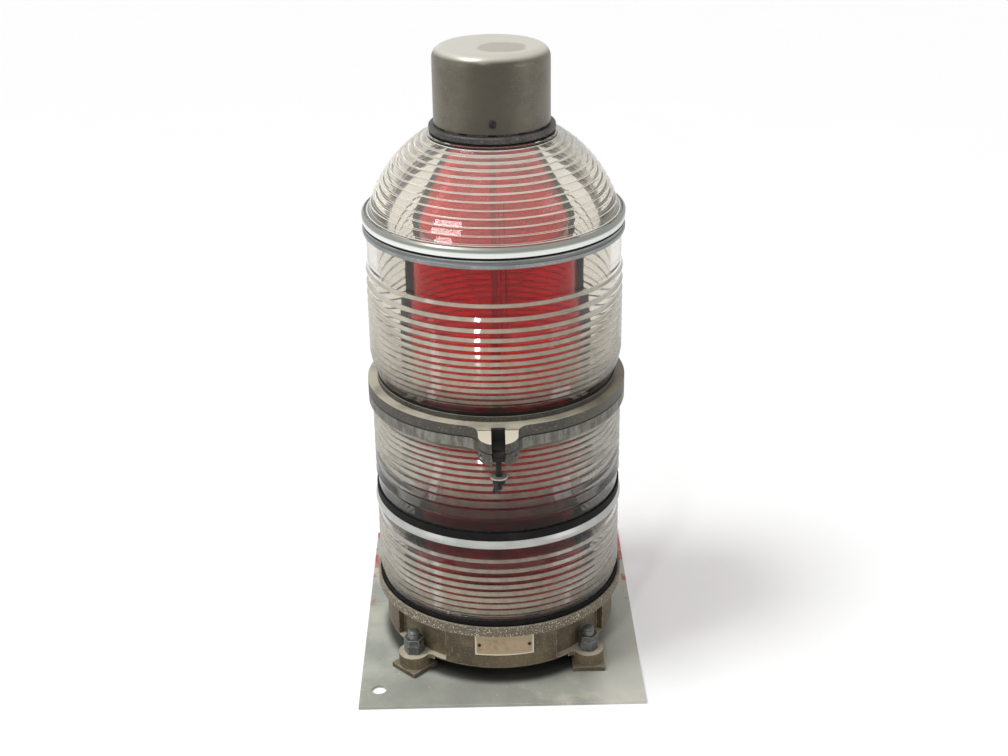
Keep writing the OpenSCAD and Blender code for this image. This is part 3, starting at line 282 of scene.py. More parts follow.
def metal_finish(name, deep, plain, pale, metallic, rough, grain, grain_deep, wear=0.0, cloud=18, sheen=0.5,
                 dust=None, marks=None):
    """Weathered metal: clouds of darker and paler tone, a fine grain, worn edges where wear is over 0, dust
    on what looks up, which on the bright ring is a painted highlight, and marks of its own."""
    material, place = new_finish(name)
    clouds = noise(place, cloud, 5, 0.6)
    specks = noise(place, grain, 2, 0.5)
    tone = blend(between(clouds, 0.36, 0.62), deep, plain)
    # On the bright ring this near-white dust is a painted highlight along its top.
    if dust:
        tone = blend(facing_up(place, 0.35, 0.9) * (0.55 + 0.45 * between(clouds, 0.3, 0.6)), tone, dust)
    tone = blend(between(specks, 0.58, 0.75) * 0.45, tone, pale)
    if wear:
        tone = blend(edges(place, wear) * between(noise(place, 130, 3), 0.3, 0.6), tone, pale)
    if marks:
        tone = marks(place, tone)
    shader = place.node("BsdfPrincipled", {}, {
        "Base Color": tone, "Metallic": metallic, "Specular IOR Level": sheen,
        "Roughness": rough + 0.22 * (clouds - 0.5) + 0.15 * (specks - 0.5),
        "Normal": bumped(specks + 0.6 * clouds, 0.35, grain_deep),
    })
    surface(place, shader)
    return material


def lit_through(place, shader, tone):
    """Lets lamps shine through a glass, coloured by it, and sends the glass to the output."""
    clear = place.node("BsdfTransparent", {}, {"Color": tone})
    shade = place.node("LightPath", out="Is Shadow Ray")
    surface(place, place.node("MixShader", {}, {0: shade, 1: shader, 2: clear}))


def by_height(place, stops):
    """A colour that changes with the height up the glass, from stops of a height in mm and a colour."""
    low, high = GLASS_REACH
    share = place.node("MapRange", {}, {0: axis(place, "Z"), 1: low * MM, 2: high * MM})
    spread = [((height - low) / (high - low), tone) for height, tone in stops]
    return place.node("ValToRGB", {"stops": spread}, {0: share})


def warm(level):
    """A grey of aged glass, a little warm."""
    return (level, 0.965 * level, 0.89 * level, 1)


def dome_shape():
    """The dome's ball: its radius, its middle's height, the angle of its first ridge and the ridges' step."""
    low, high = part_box("dome_lens")
    ball = high.x + DOME_SWELL
    middle = low.z - math.sqrt(ball ** 2 - high.x ** 2)
    first = math.asin((low.z + DOME_FOOT_TALL - middle) / ball)
    last = math.asin((high.z - middle) / ball)
    return ball, middle, first, (last - first) / DOME_RIDGES


def grey(level):
    """A plain grey."""
    return (level, level, level, 1)


def clear_glass(place, cloud):
    """Clear glass, grimy inside and darkened in bands by painted shade: its outer mirror is dull, and light
    that is held within stays bright.
    """
    body = {
        "Base Color": by_height(place, [(height, warm(level)) for height, level in GRIME_AND_PAINTED_SHADE]),
        "Roughness": 0.02 + 0.03 * cloud, "Transmission Weight": 1.0, "IOR": GLASS_INDEX,
        "Normal": bumped(noise(place, 26, 2, 0.5), 0.08, 1.5 * MM),
    }
    behind = place.node("NewGeometry", out="Backfacing")
    mirrored = behind * between(place.node("Fresnel", {}, {"IOR": GLASS_INDEX}), 0.4, 0.9)
    dull = place.node("BsdfPrincipled", {}, {**body, "Specular Tint": (0.35, 0.35, 0.35, 1)})
    bright = place.node("BsdfPrincipled", {}, body)
    return place.node("MixShader", {}, {0: mirrored, 1: dull, 2: bright})


def dust_film(place, cloud):
    """Dust that lies on glass, darker in bands of painted shade, and near white on the dome for its painted
    highlights.
    """
    dust = by_height(place, [(height, srgb(*tone)) for height, tone in DUST_AND_PAINTED_LIGHT])
    return place.node("BsdfPrincipled", {}, {
        "Base Color": blend(cloud * 0.15, dust, srgb(190, 183, 165)), "Roughness": 0.45, "Coat Weight": 1.0,
        "Coat Roughness": 0.06,
    })


def dust_share(place, cloud):
    """Where the film covers the glass: dust on what looks up and the drums' ground ends, and painted
    highlights on the dome's ridge tips.
    """
    outside = 1 - place.node("NewGeometry", out="Backfacing")
    cover = by_height(place, [(height, grey(level)) for height, level in DUST_COVER])
    dusty = facing_up(place, 0.1, 0.45) * outside * cover * (0.92 + 0.12 * cloud)
    dome = between(axis(place, "Z"), DOME_FROM, DOME_FROM + 6 * MM)
    upward = place.node("SeparateXYZ", (), {0: place.node("TexCoord", out="Normal")}, out="Z")
    ground = between(abs(upward), 0.95, 0.98) * 0.9 * (1 - dome)
    ball, middle, first, step = dome_shape()
    turn = upward.maths("ARCTAN2", axis(place, "Z") - middle, from_axis(place))
    tooth = turn.maths("FRACT", (turn - first) / step, 0.0)
    # Painted highlight: a thin pale line along each ridge tip of the dome.
    tips = between(abs(tooth - 0.5), 0.455, 0.485) * dome * 0.95
    return either(dusty, either(ground, tips))


def lens_glass():
    """Pressed clear glass, grimy inside and darkened by painted shade towards the feet and round the lower
    belts, with a film of dust and painted highlights on the dome's ridge tips.
    """
    material, place = new_finish("lens_glass")
    cloud = between(noise(place, 90, 4, 0.6), 0.3, 0.7)
    glass = place.node("MixShader", {}, {
        0: dust_share(place, cloud), 1: clear_glass(place, cloud), 2: dust_film(place, cloud),
    })
    lit_through(place, glass, (0.84, 0.82, 0.77, 1))
    return material


def red_glass():
    """Signal red glass, coloured through, with faint streaks and a thin dull film."""
    material, place = new_finish("red_glass")
    streaks = between(noise(place, 14, 3, 0.5, (1, 1, 0.3)), 0.3, 0.7)
    glass = place.node("BsdfPrincipled", {}, {
        "Base Color": blend(streaks, (0.82, 0.008, 0.012, 1), (0.94, 0.014, 0.020, 1)), "Roughness": 0.05,
        "Transmission Weight": 1.0, "IOR": 1.2, "Specular Tint": (0.2, 0.2, 0.2, 1),
    })
    film = place.node("BsdfPrincipled", {}, {
        "Base Color": blend(streaks, srgb(190, 10, 22), srgb(220, 20, 34)), "Roughness": 0.5,
        "Specular IOR Level": 0.1,
    })
    lit_through(place, place.node("MixShader", {}, {0: 0.14 + 0.08 * streaks, 1: glass, 2: film}),
                (0.8, 0.05, 0.06, 1))
    return material


def bulb_glass():
    """Thin clear bulb glass with a little dust."""
    material, place = new_finish("bulb_glass")
    dust = noise(place, 40, 4)
    glass = place.node("BsdfPrincipled", {}, {
        "Base Color": (0.95, 0.95, 0.93, 1), "Roughness": 0.02 + 0.06 * between(dust, 0.5, 0.8),
        "Transmission Weight": 1.0, "IOR": 1.12, "Specular Tint": (0.25, 0.25, 0.25, 1),
    })
    lit_through(place, glass, (0.92, 0.92, 0.9, 1))
    return material


def rubber(name, tone, dust_tone):
    """Aged black rubber with a little dust lying in its grain."""
    material, place = new_finish(name)
    grain = noise(place, 420, 3)
    dust = between(noise(place, 45, 4), 0.5, 0.75)
    shader = place.node("BsdfPrincipled", {}, {
        "Base Color": blend(dust * 0.2, tone, dust_tone), "Roughness": 0.6 + 0.2 * grain,
        "Specular IOR Level": 0.15, "Normal": bumped(grain, 0.3, 0.2 * MM),
    })
    surface(place, shader)
    return material


def glazed(name, tone, stain, marks=None):
    """Glazed or enamelled surface with faint stains, and marks of its own."""
    material, place = new_finish(name)
    stains = between(noise(place, 55, 5, 0.65), 0.48, 0.72)
    colour = blend(stains, tone, stain)
    if marks:
        colour = marks(place, colour)
    shader = place.node("BsdfPrincipled", {}, {
        "Base Color": colour, "Roughness": 0.3 + 0.25 * stains, "Coat Weight": 0.1,
    })
    surface(place, shader)
    return material


def plate_marks(place, tone):
    """Cream wear in broad patches, a darker front, white specks, painted shade round the casting's foot,
    painted light on the right side where the beacon's shadow falls, and red paint left at the sides and back.
    """
    low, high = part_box("mount_plate")
    front = 1 - between(axis(place, "Y"), low.y + 30 * MM, low.y + 90 * MM)
    tone = blend(front * 0.55, tone, srgb(132, 132, 123))
    wide = between(noise(place, 13, 6, 0.65), 0.54, 0.68)
    tone = blend(wide * 0.4, tone, srgb(206, 198, 178))
    tone = blend(between(noise(place, 260, 2), 0.71, 0.78) * 0.8, tone, srgb(232, 230, 222))
    # Painted shade: a dark ring on the plate round the casting's foot.
    tone = blend((1 - between(from_axis(place), 156 * MM, 171 * MM)) * 0.92, tone, srgb(30, 28, 25))
    across = axis(place, "X")
    # Painted light: the plate paler towards its right, where the beacon's shadow falls.
    tone = blend(between(across, 105 * MM, 150 * MM) * 0.6, tone, srgb(206, 205, 194))
    side = between(abs(across), high.x - 9 * MM, high.x - 4 * MM)
    side = side * between(axis(place, "Y"), 20 * MM, 70 * MM)
    back = between(axis(place, "Y"), high.y - 12 * MM, high.y - 4 * MM)
    painted = either(side, back) * between(noise(place, 20, 3), 0.46, 0.54)
    return blend(painted * 0.8, tone, srgb(168, 44, 40))


def ring_marks(place, tone):
    """The zinc-grey streaks of the lower ring, painted shade in the gap between the rings and in the latch
    slot, a paler band above the split at the right, and the milled latch seat.
    """
    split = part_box("hinge_cotter")[0].z + COTTER_HALF
    height = axis(place, "Z")
    skirt = 1 - between(from_axis(place), SKIRT_RADIUS, SKIRT_RADIUS + 2 * MM)
    streaky = between(noise(place, 110, 4, 0.65, (1, 1, 0.3)), 0.35, 0.65)
    lower = 1 - between(height, split - 2 * MM, split)
    tone = blend(lower * skirt * (0.15 + 0.5 * streaky), tone, srgb(142, 142, 133))
    # Painted shade: a black band where the rings meet, for the shade in the gap.
    tone = blend(near(height, split, 1.1 * MM), tone, srgb(16, 15, 13))
    across = axis(place, "X")
    # Painted shade: the latch slot darkened for the shade inside it.
    slot = (1 - between(abs(across), SLOT_HALF, SLOT_HALF + 0.2 * MM)) * (1 - skirt)
    tone = blend(slot, tone, srgb(18, 17, 15))
    milled = near(height, split + MILLED_UP, 0.7 * MM) * facing_up(place, 0.7, 0.95)
    forward = between(-1 * axis(place, "Y"), LATCH_SEAT_FROM, LATCH_SEAT_FROM + 2 * MM)
    right = between(across, 80 * MM, 150 * MM) * between(height, split, split + 2 * MM)
    tone = blend(right * 0.6, tone, srgb(84, 80, 71))
    return blend(milled * forward, tone, srgb(206, 198, 180))


def hoop_marks(place, tone):
    """A painted highlight on the hoop's side under its dull shoulder, and painted shade in the groove of the
    bead ring below.
    """
    height = axis(place, "Z")
    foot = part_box("dome_hoop")[0].z
    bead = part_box("upper_join_ring")
    # Painted highlight: the hoop's side near white.
    hoop = between(height, foot - 1 * MM, foot)
    tone = blend(hoop, tone, srgb(226, 227, 223))
    tone = blend(between(height, foot + 4.5 * MM, foot + 7.5 * MM), tone, srgb(132, 136, 128))
    # Painted shade: the bead ring darker in its groove.
    groove = near(height, bead[0].z + 0.63 * (bead[1].z - bead[0].z), 2.2 * MM)
    return blend(groove, tone, srgb(112, 114, 113))


def base_marks(place, tone):
    """The rough rim, paler than the side below it, with white specks."""
    rim = between(axis(place, "Z"), RIM_FROM, RIM_FROM + 3 * MM)
    tone = blend(rim * 0.7, tone, srgb(94, 86, 70))
    return blend(rim * between(noise(place, 520, 3), 0.55, 0.66) * 0.8, tone, srgb(206, 200, 184))


def cap_marks(place, tone):
    """A paler top with a darker tongue left on it, and a painted reflection: a darker band down the middle.
    """
    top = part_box("vent_cap")[1].z
    across = axis(place, "X")
    # Painted reflection: a darker band down the cap's middle.
    middle = 1 - between(abs(across + 4 * MM), 8 * MM, 62 * MM)
    tone = blend(middle * 0.85, tone, srgb(66, 61, 50))
    # The top is painted paler.
    worn = between(axis(place, "Z"), top - 9 * MM, top - 2 * MM)
    tone = blend(worn * 0.85, tone, srgb(206, 202, 190))
    tongue_at = (14 * MM, -18 * MM, top)
    tongue = place.node("VectorMath", {"operation": "DISTANCE"}, {0: place, 1: tongue_at}, out="Value")
    wobble = 18 * MM * (noise(place, 30, 3) - 0.5)
    return blend((1 - between(tongue + wobble, 26 * MM, 32 * MM)) * worn * 0.7, tone, srgb(150, 142, 124))


def name_marks(place, colour):
    """A thin pale line round the bare plate's edge."""
    low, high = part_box("nameplate")
    middle = (low.x + high.x) / 2
    across = axis(place, "X")
    reach = high.x - middle
    ends = between(abs(across - middle), reach - 2.2 * MM, reach - 1.6 * MM)
    tall = axis(place, "Z")
    half = (high.z - low.z) / 2
    brims = between(abs(tall - (low.z + half)), half - 2.2 * MM, half - 1.6 * MM)
    return blend(either(ends, brims) * 0.8, colour, srgb(222, 214, 194))


finishes = {
    "plate_zinc": metal_finish(
        "plate_zinc", srgb(152, 155, 146), srgb(174, 176, 166), srgb(224, 222, 212),
        metallic=0.1, rough=0.55, grain=900, grain_deep=0.15 * MM, wear=1.5 * MM, cloud=14,
        marks=plate_marks,
    ),
    "pad_steel": metal_finish(
        "pad_steel", srgb(70, 63, 50), srgb(98, 90, 74), srgb(170, 160, 138),
        metallic=0.3, rough=0.6, grain=700, grain_deep=0.2 * MM, wear=1.2 * MM, cloud=40,
        dust=srgb(128, 120, 102),
    ),
    "stud_steel": metal_finish(
        "stud_steel", srgb(80, 81, 78), srgb(100, 102, 99), srgb(170, 170, 164),
        metallic=0.4, rough=0.45, grain=900, grain_deep=0.1 * MM, wear=0.8 * MM, cloud=60,
    ),
    "nut_steel": metal_finish(
        "nut_steel", srgb(70, 72, 72), srgb(96, 98, 97), srgb(200, 200, 194),
        metallic=0.4, rough=0.42, grain=900, grain_deep=0.1 * MM, wear=1.0 * MM, cloud=60,
    ),
    "base_cast": metal_finish(
        "base_cast", srgb(72, 62, 45), srgb(100, 88, 66), srgb(186, 176, 152),
        metallic=0.1, rough=0.62, grain=520, grain_deep=0.35 * MM, wear=1.6 * MM, cloud=24,
        dust=srgb(186, 177, 156), marks=base_marks,
    ),
    "plate_cream": glazed("plate_cream", srgb(164, 144, 112), srgb(132, 110, 80), name_marks),
    "dark_screw": metal_finish(
        "dark_screw", srgb(24, 22, 20), srgb(38, 36, 32), srgb(130, 126, 116),
        metallic=0.0, rough=0.5, grain=900, grain_deep=0.1 * MM, wear=0.3 * MM, cloud=90,
        sheen=0.2,
    ),
    "block_plastic": glazed("block_plastic", srgb(46, 40, 36), srgb(70, 62, 54)),
    "brass": metal_finish(
        "brass", srgb(140, 104, 52), srgb(178, 138, 74), srgb(214, 182, 120),
        metallic=1.0, rough=0.35, grain=500, grain_deep=0.08 * MM, wear=0.6 * MM, cloud=40,
    ),
    "lead_rubber": rubber("lead_rubber", srgb(26, 24, 23), srgb(70, 66, 60)),
    "bracket_steel": metal_finish(
        "bracket_steel", srgb(88, 86, 80), srgb(112, 110, 104), srgb(150, 148, 140),
        metallic=0.4, rough=0.5, grain=500, grain_deep=0.1 * MM, cloud=30,
    ),
    "porcelain": glazed("porcelain", srgb(228, 222, 206), srgb(196, 186, 164)),
    "bulb_glass": bulb_glass(),
    "wire": metal_finish(
        "wire", srgb(100, 100, 98), srgb(140, 140, 137), srgb(180, 180, 176),
        metallic=1.0, rough=0.35, grain=500, grain_deep=0.05 * MM, cloud=40,
    ),
    "red_glass": red_glass(),
    "strap_steel": metal_finish(
        "strap_steel", srgb(30, 29, 26), srgb(44, 42, 38), srgb(80, 76, 68),
        metallic=0.0, rough=0.6, grain=500, grain_deep=0.1 * MM, cloud=40, sheen=0.2,
    ),
    "seal_rubber": rubber("seal_rubber", srgb(14, 13, 12), srgb(58, 55, 49)),
    "lens_glass": lens_glass(),
    # Its near-white dust on what looks up is a painted highlight along the ring's top edge.
    "bright_ring": metal_finish(
        "bright_ring", srgb(164, 165, 161), srgb(174, 175, 170), srgb(188, 188, 184),
        metallic=0.6, rough=0.34, grain=90, grain_deep=0.002 * MM, cloud=30,
        dust=srgb(240, 240, 236),
    ),
    "grey_ring": metal_finish(
        "grey_ring", srgb(118, 121, 120), srgb(138, 141, 139), srgb(200, 201, 199),
        metallic=0.4, rough=0.36, grain=400, grain_deep=0.08 * MM, cloud=30,
        dust=srgb(206, 207, 203), marks=hoop_marks,
    ),
    "ring_cast": metal_finish(
        "ring_cast", srgb(46, 44, 37), srgb(64, 61, 52), srgb(168, 162, 145),
        metallic=0.1, rough=0.55, grain=520, grain_deep=0.25 * MM, wear=1.0 * MM, cloud=26,
        dust=srgb(178, 172, 155), marks=ring_marks,
    ),
    "pin_steel": metal_finish(
        "pin_steel", srgb(110, 109, 105), srgb(140, 139, 134), srgb(190, 188, 182),
        metallic=0.9, rough=0.35, grain=700, grain_deep=0.08 * MM, wear=0.6 * MM, cloud=50,
    ),
    "latch_black": metal_finish(
        "latch_black", srgb(14, 13, 12), srgb(24, 23, 21), srgb(96, 92, 84),
        metallic=0.0, rough=0.5, grain=700, grain_deep=0.1 * MM, wear=0.4 * MM, cloud=60,
        sheen=0.2,
    ),
    "washer_steel": metal_finish(
        "washer_steel", srgb(150, 147, 138), srgb(186, 183, 172), srgb(230, 228, 220),
        metallic=0.6, rough=0.35, grain=700, grain_deep=0.1 * MM, wear=0.6 * MM, cloud=60,
    ),
    "cap_dark": metal_finish(
        "cap_dark", srgb(50, 49, 46), srgb(70, 69, 65), srgb(186, 184, 176),
        metallic=0.3, rough=0.5, grain=600, grain_deep=0.15 * MM, wear=1.2 * MM, cloud=40,
    ),
    "screen_metal": metal_finish(
        "screen_metal", srgb(70, 68, 63), srgb(94, 91, 84), srgb(130, 126, 118),
        metallic=0.7, rough=0.45, grain=500, grain_deep=0.1 * MM, cloud=40,
    ),
    "cap_sheet": metal_finish(
        "cap_sheet", srgb(88, 83, 71), srgb(104, 98, 85), srgb(150, 145, 132),
        metallic=0.35, rough=0.36, grain=600, grain_deep=0.06 * MM, cloud=20,
        marks=cap_marks,
    ),
}


def deselect():
    """Leaves edit mode and deselects everything, because operators act on all that is selected."""
    if bpy.context.object and bpy.context.object.mode != "OBJECT":
        bpy.ops.object.mode_set(mode="OBJECT")
    bpy.ops.object.select_all(action="DESELECT")


def stand_for(piece, *nodes):
    """Puts a modelled piece in the place of solids, on their body and with their finish."""
    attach(piece, body_of[nodes[0]])
    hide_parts(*nodes)
    piece.data.materials.clear()
    piece.data.materials.append(finishes[slot_of[nodes[0]]])
    return piece


def even_normals(piece):
    """Lets large faces keep their own normals, so that roundings don't bend the shading beside them."""
    even = piece.modifiers.new("even", "WEIGHTED_NORMAL")
    even.keep_sharp = True
    even.weight = 100
    bpy.ops.object.modifier_apply(modifier="even")


def turned(name, outline, steps=RING_STEPS, rounding=0.0, rounds=2):
    """Extrudes a corner along an outline of (radius, height), rounds the outline and spins it to a ring."""
    deselect()
    bpy.ops.mesh.primitive_plane_add(size=0.01)
    piece = bpy.context.object
    piece.name = piece.data.name = name
    bpy.ops.object.mode_set(mode="EDIT")
    bpy.ops.mesh.merge(type="CENTER")
    bpy.ops.transform.translate(value=(outline[0][0], 0, outline[0][1]))
    for (r0, z0), (r1, z1) in zip(outline, outline[1:]):
        bpy.ops.mesh.extrude_region_move(TRANSFORM_OT_translate={"value": (r1 - r0, 0, z1 - z0)})
    bpy.ops.mesh.select_all(action="SELECT")
    bpy.ops.mesh.edge_face_add()
    if rounding:
        bpy.ops.mesh.bevel(affect="VERTICES", offset=rounding, segments=rounds)
    bpy.ops.mesh.select_all(action="SELECT")
    bpy.ops.mesh.delete(type="ONLY_FACE")
    bpy.ops.mesh.select_all(action="SELECT")
    bpy.ops.mesh.spin(steps=steps, angle=math.tau, center=(0, 0, 0), axis=(0, 0, 1))
    bpy.ops.mesh.select_all(action="SELECT")
    bpy.ops.mesh.remove_doubles(threshold=MERGE)
    bpy.ops.mesh.normals_make_consistent(inside=False)
    bpy.ops.object.mode_set(mode="OBJECT")
    bpy.ops.object.shade_smooth_by_angle(angle=math.radians(40))
    even_normals(piece)
    return piece


def softened(node, width, rounds=2):
    """Copies a solid, merges its loose triangles into faces and rounds its edges."""
    deselect()
    piece = bpy.data.objects.new(node + "_rounded", frame["nodes"][node].data.copy())
    bpy.context.scene.collection.objects.link(piece)
    bpy.context.view_layer.objects.active = piece
    piece.select_set(True)
    bpy.ops.object.mode_set(mode="EDIT")
    bpy.ops.mesh.select_all(action="SELECT")
    bpy.ops.mesh.remove_doubles(threshold=MERGE)
    bpy.ops.mesh.customdata_custom_splitnormals_clear()
    bpy.ops.mesh.dissolve_limited(angle_limit=math.radians(0.3))
    bpy.ops.object.mode_set(mode="OBJECT")
    edge = piece.modifiers.new("edge", "BEVEL")
    edge.width = width
    edge.segments = rounds
    edge.limit_method = "ANGLE"
    edge.angle_limit = math.radians(30)
    edge.harden_normals = False
    bpy.ops.object.modifier_apply(modifier="edge")
    bpy.ops.object.shade_smooth_by_angle(angle=math.radians(35))
    even_normals(piece)
    return stand_for(piece, node)


def ridge_heights(room, wide):
    """Where ridges start, counted from the belt: wide ones first, then narrow ones, while there's room."""
    starts = [0.0]
    while True:
        tall = RIDGE_NARROW + (wide - RIDGE_NARROW) * RIDGE_FADE ** (len(starts) - 1)
        if starts[-1] + tall > room:
            return starts
        starts.append(starts[-1] + tall)


def drum_lens(node, belt, wide, ridges_up, taper=0.0):
    """A drum of clear glass: a plain belt at one end, then ridges with sloped risers and a plain foot, drawn
    in by the taper towards the foot."""
    low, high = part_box(node)
    rim = high.x
    bore = rim - LENS_WALL
    way = 1 if ridges_up else -1
    belt_edge = low.z + belt if ridges_up else high.z - belt
    run = high.z - low.z - belt
    starts = ridge_heights(run - FOOT_TALL, wide)

    def drawn_in(height):
        return taper * max(0.0, (height - run + TAPER_TALL) / TAPER_TALL)

    outline = [(bore, -belt), (rim - BELT_DROP, -belt), (rim - BELT_DROP, 0)]
    for start, end in zip(starts, starts[1:]):
        lean = math.sin(math.atan((belt + (start + end) / 2) / rim))
        face = end - start - RISER_TALL
        cut = min(RIDGE_DEPTH, face * lean / (math.sqrt(GLASS_INDEX ** 2 - lean ** 2) - 1))
        crest = start + RISER_TALL
        outline += [(rim - drawn_in(crest), crest), (rim - drawn_in(end) - cut, end)]
    foot = rim - FOOT_DROP
    outline += [(foot - drawn_in(starts[-1]), starts[-1]), (foot - taper, run), (bore, run)]
    outline = [(radius, belt_edge + way * height) for radius, height in outline]
    return stand_for(turned(node + "_glass", outline, LENS_STEPS, LENS_ROUNDING, 3), node)


def dome_lens():
    """The dome of clear glass: stepped ridges of equal angle on a sphere, over a plain foot."""
    low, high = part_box("dome_lens")
    ball, middle, first, step = dome_shape()
    inside = ball - DOME_WALL

    def on_ball(radius, turn):
        return radius * math.cos(turn), middle + radius * math.sin(turn)

    outline = [(high.x, low.z), (high.x, low.z + DOME_FOOT_TALL)]
    for i in range(DOME_RIDGES):
        outline += [on_ball(ball, first + i * step), on_ball(ball - DOME_RIDGE_DEPTH, first + (i + 1) * step)]
    inner_top = math.asin((high.z - middle) / inside)
    inner_foot = math.asin((low.z - middle) / inside)
    outline += [((ball - DOME_RIDGE_DEPTH) * math.cos(first + DOME_RIDGES * step), high.z)]
    inner_step = (inner_foot - inner_top) / DOME_INNER_STEPS
    outline += [on_ball(inside, inner_top + inner_step * i) for i in range(DOME_INNER_STEPS + 1)]
    return stand_for(turned("dome_glass", outline, LENS_STEPS, DOME_ROUNDING, 3), "dome_lens")


def join_ring(node, outline, rounding):
    """A metal ring between two lenses. Its outline: depths below its widest edge, shares of its height."""
    low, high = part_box(node)
    bore = high.x - RING_DEEP
    shape = [(bore, low.z)]
    shape += [(high.x - depth, low.z + share * (high.z - low.z)) for depth, share in outline]
    shape += [(bore, high.z)]
    return stand_for(turned(node + "_rolled", shape, LENS_STEPS, rounding, 3), node)


def vent_cap():
    """The spun cap: a straight side, a rounded shoulder and a flat top, of thin sheet."""
    low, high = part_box("vent_cap")
    radius = high.x
    flat = radius - CAP_SHOULDER
    side_top = high.z - CAP_SHOULDER
    turns = [math.pi / 2 * i / SHOULDER_STEPS for i in range(SHOULDER_STEPS + 1)]
    outer = [(radius, low.z)]
    outer += [(flat + CAP_SHOULDER * math.cos(t), side_top + CAP_SHOULDER * math.sin(t)) for t in turns]
    inner = [(0, high.z - CAP_SHEET), (flat, high.z - CAP_SHEET), (radius - CAP_SHEET, side_top),
             (radius - CAP_SHEET, low.z)]
    return stand_for(turned("vent_cap_spun", outer + [(0, high.z)] + inner, CAP_STEPS), "vent_cap")


def studs():
    """Threaded studs with domed ends: one is turned, then the others are copied round the lenses' axis."""
    low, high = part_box("mounting_studs")
    at = high.x - STUD_RADIUS
    outline = [(0, low.z), (STUD_RADIUS, low.z)]
    turns = int((high.z - low.z - THREAD_SHORT) / THREAD_PITCH)
    for i in range(turns):
        root = low.z + THREAD_FROM + i * THREAD_PITCH
        outline += [(STUD_RADIUS, root), (STUD_RADIUS - THREAD_DEEP, root + THREAD_PITCH / 2)]
    outline += [(share * STUD_RADIUS, high.z - below) for share, below in STUD_DOME]
    outline += [(0, high.z)]
    piece = turned("mounting_studs_threaded", outline, STUD_STEPS)
    bpy.ops.object.mode_set(mode="EDIT")
    bpy.ops.mesh.select_all(action="SELECT")
    bpy.ops.transform.translate(value=(at, at, 0))
    for _ in range(3):
        bpy.ops.mesh.duplicate()
        bpy.ops.transform.rotate(value=math.pi / 2, orient_axis="Z", center_override=(0, 0, 0))
    bpy.ops.object.mode_set(mode="OBJECT")
    return stand_for(piece, "mounting_studs")


def slotted(piece, places, size):
    """Cuts a straight slot into each of a piece's screw heads."""
    for at, turn in places:
        deselect()
        bpy.ops.mesh.primitive_cube_add(size=1, location=at, rotation=(0, 0, turn))
        cutter = bpy.context.object
        cutter.scale = size
        bpy.ops.object.transform_apply(location=True, rotation=True, scale=True)
        deselect()
        bpy.context.view_layer.objects.active = piece
        piece.select_set(True)
        cut = piece.modifiers.new("slot", "BOOLEAN")
        cut.operation = "DIFFERENCE"
        cut.solver = "EXACT"
        cut.object = cutter
        bpy.ops.object.modifier_apply(modifier="slot")
        bpy.data.objects.remove(cutter, do_unlink=True)


drum_lens("lower_drum_lens", belt=17 * MM, wide=15 * MM, ridges_up=False)
drum_lens("crown_lens", belt=17 * MM, wide=15.4 * MM, ridges_up=True)
drum_lens("upper_drum_lens", belt=45 * MM, wide=17.8 * MM, ridges_up=False, taper=7 * MM)
dome_lens()
join_ring("lower_join_ring", [(1.2 * MM, 0), (0, 0.12), (0, 0.5), (2.4 * MM, 1)], 0.5 * MM)
join_ring("upper_join_ring", [(1.2 * MM, 0), (0, 0.1), (0, 0.46), (1.6 * MM, 0.52), (1.9 * MM, 0.72),
                              (0.5 * MM, 0.8), (0.5 * MM, 0.9), (1.4 * MM, 1)], 0.35 * MM)
vent_cap()
studs()

edge_widths = {
    "mount_plate": 0.8 * MM, "pad_washers": 0.9 * MM, "hex_nuts": 0.4 * MM, "jam_nuts": 0.4 * MM,
    "base_casting": 1.5 * MM, "hinge_ring": 1.0 * MM, "lid_ring": 1.2 * MM, "swing_bolt": 0.5 * MM,
    "wing_nut": 0.6 * MM, "latch_washer": 0.3 * MM, "nameplate": 0.4 * MM, "nameplate_screws": 0.4 * MM,
    "cap_screws": 0.6 * MM, "dome_hoop": 0.8 * MM, "cap_flange": 0.6 * MM,
}
for node, width in edge_widths.items():
    softened(node, width)

screw_low, screw_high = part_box("cap_screws")
screw_at = Vector((0, screw_low.y, (screw_low.z + screw_high.z) / 2))
slotted(bpy.data.objects["cap_screws_rounded"],
        [(Matrix.Rotation(turn, 3, "Z") @ screw_at, turn) for turn in (0, math.tau / 3, -math.tau / 3)],
        SCREW_SLOT)

for node, solid in frame["nodes"].items():
    for material_slot in solid.material_slots:
        material_slot.material = finishes[slot_of[node]]


def seen_as_white(wire):
    """1 where the camera sees a surface itself, in metal or through glass."""
    camera, metal, glass = [wire.node("LightPath", out=ray) for ray in RAYS_SEEN]
    return either(camera, either(metal, glass))


def floor_finish():
    """A pale studio floor that takes the beacon's shadow and fades to white where it is seen."""
    material, place = new_finish("studio_floor")
    paint = place.node("BsdfPrincipled", {}, {
        "Base Color": blend(noise(place, 3, 2), grey(0.95), grey(0.97)), "Roughness": 0.8,
    })
    white = place.node("Emission", {}, {"Color": grey(1), "Strength": 1.0})
    surface(place, place.node("MixShader", {}, {0: seen_as_white(place) * 0.25, 1: paint, 2: white}))
    return material


def add_floor():
    """A round floor that fills the picture."""
    deselect()
    bpy.ops.mesh.primitive_circle_add(vertices=64, radius=FLOOR_RADIUS, fill_type="NGON")
    floor = bpy.context.object
    floor.name = "studio_floor"
    floor.data.materials.append(floor_finish())


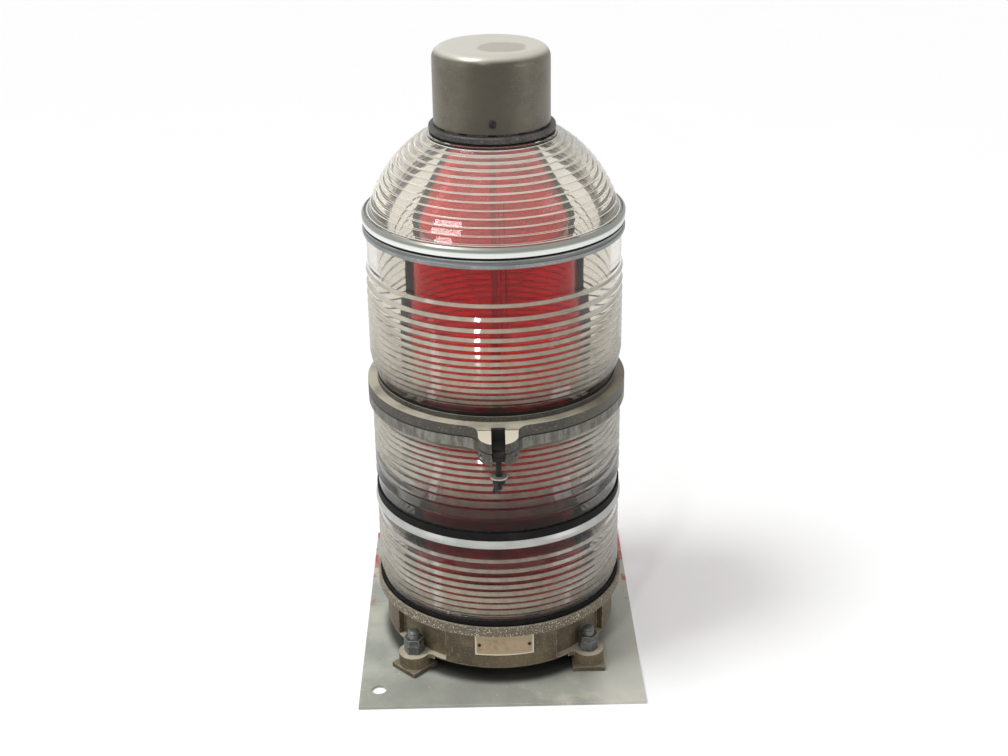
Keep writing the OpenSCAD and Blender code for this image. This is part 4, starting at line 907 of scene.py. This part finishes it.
def add_light(name, at, aim, size, power):
    """A rectangular soft lamp at a place, facing a point."""
    lamp = bpy.data.lights.new(name, "AREA")
    lamp.shape = "RECTANGLE"
    lamp.size, lamp.size_y = size
    lamp.energy = power
    holder = bpy.data.objects.new(name, lamp)
    holder.location = at
    holder.rotation_euler = (Vector(aim) - Vector(at)).to_track_quat("-Z", "Y").to_euler()
    bpy.context.scene.collection.objects.link(holder)


def add_sun(toward, strength, spread):
    """Wide soft light from one side, even over the floor."""
    lamp = bpy.data.lights.new("window", "SUN")
    lamp.energy = strength
    lamp.angle = spread
    holder = bpy.data.objects.new("window", lamp)
    holder.rotation_euler = (-Vector(toward)).to_track_quat("-Z", "Y").to_euler()
    bpy.context.scene.collection.objects.link(holder)


def add_world():
    """A white studio: dim as a light, and full white where it is seen."""
    world = bpy.data.worlds.new("studio")
    bpy.context.scene.world = world
    world.use_nodes = True
    world.node_tree.nodes.clear()
    wire = Wire(world.node_tree)
    dim = wire.node("Background", {}, {"Color": grey(1), "Strength": 0.44})
    white = wire.node("Background", {}, {"Color": grey(1), "Strength": 1.0})
    mixed = wire.node("MixShader", {}, {0: seen_as_white(wire), 1: dim, 2: white})
    output = world.node_tree.nodes.new("ShaderNodeOutputWorld")
    world.node_tree.links.new(mixed.socket, output.inputs["Surface"])


def add_camera():
    """The photograph's camera."""
    lens = bpy.data.cameras.new("camera")
    lens.sensor_width = SENSOR_MM
    lens.lens = FOCAL_PIXELS * SENSOR_MM / PICTURE_WIDE
    camera = bpy.data.objects.new("camera", lens)
    tilt = Matrix.Rotation(math.pi / 2 - CAMERA_DOWN, 4, "X") @ Matrix.Rotation(CAMERA_ROLL, 4, "Z")
    camera.matrix_world = Matrix.Translation(CAMERA_AT) @ Matrix.Rotation(CAMERA_YAW, 4, "Z") @ tilt
    bpy.context.scene.collection.objects.link(camera)
    bpy.context.scene.camera = camera


add_floor()
add_world()
add_camera()
add_sun((-0.46, -0.13, 0.88), 2.0, math.radians(20))
add_light("left_strip", (-2.0, -1.2, 1.3), (0, 0, 0.5), (0.3, 1.6), 6)
add_light("front_spot", (-0.64, -1.9, 2.5), (0, 0, 0.5), (0.15, 0.15), 11)
add_light("right_fill", (2.2, -1.4, 1.0), (0, 0, 0.3), (0.8, 0.8), 7)

bpy.context.scene.view_settings.view_transform = "Standard"
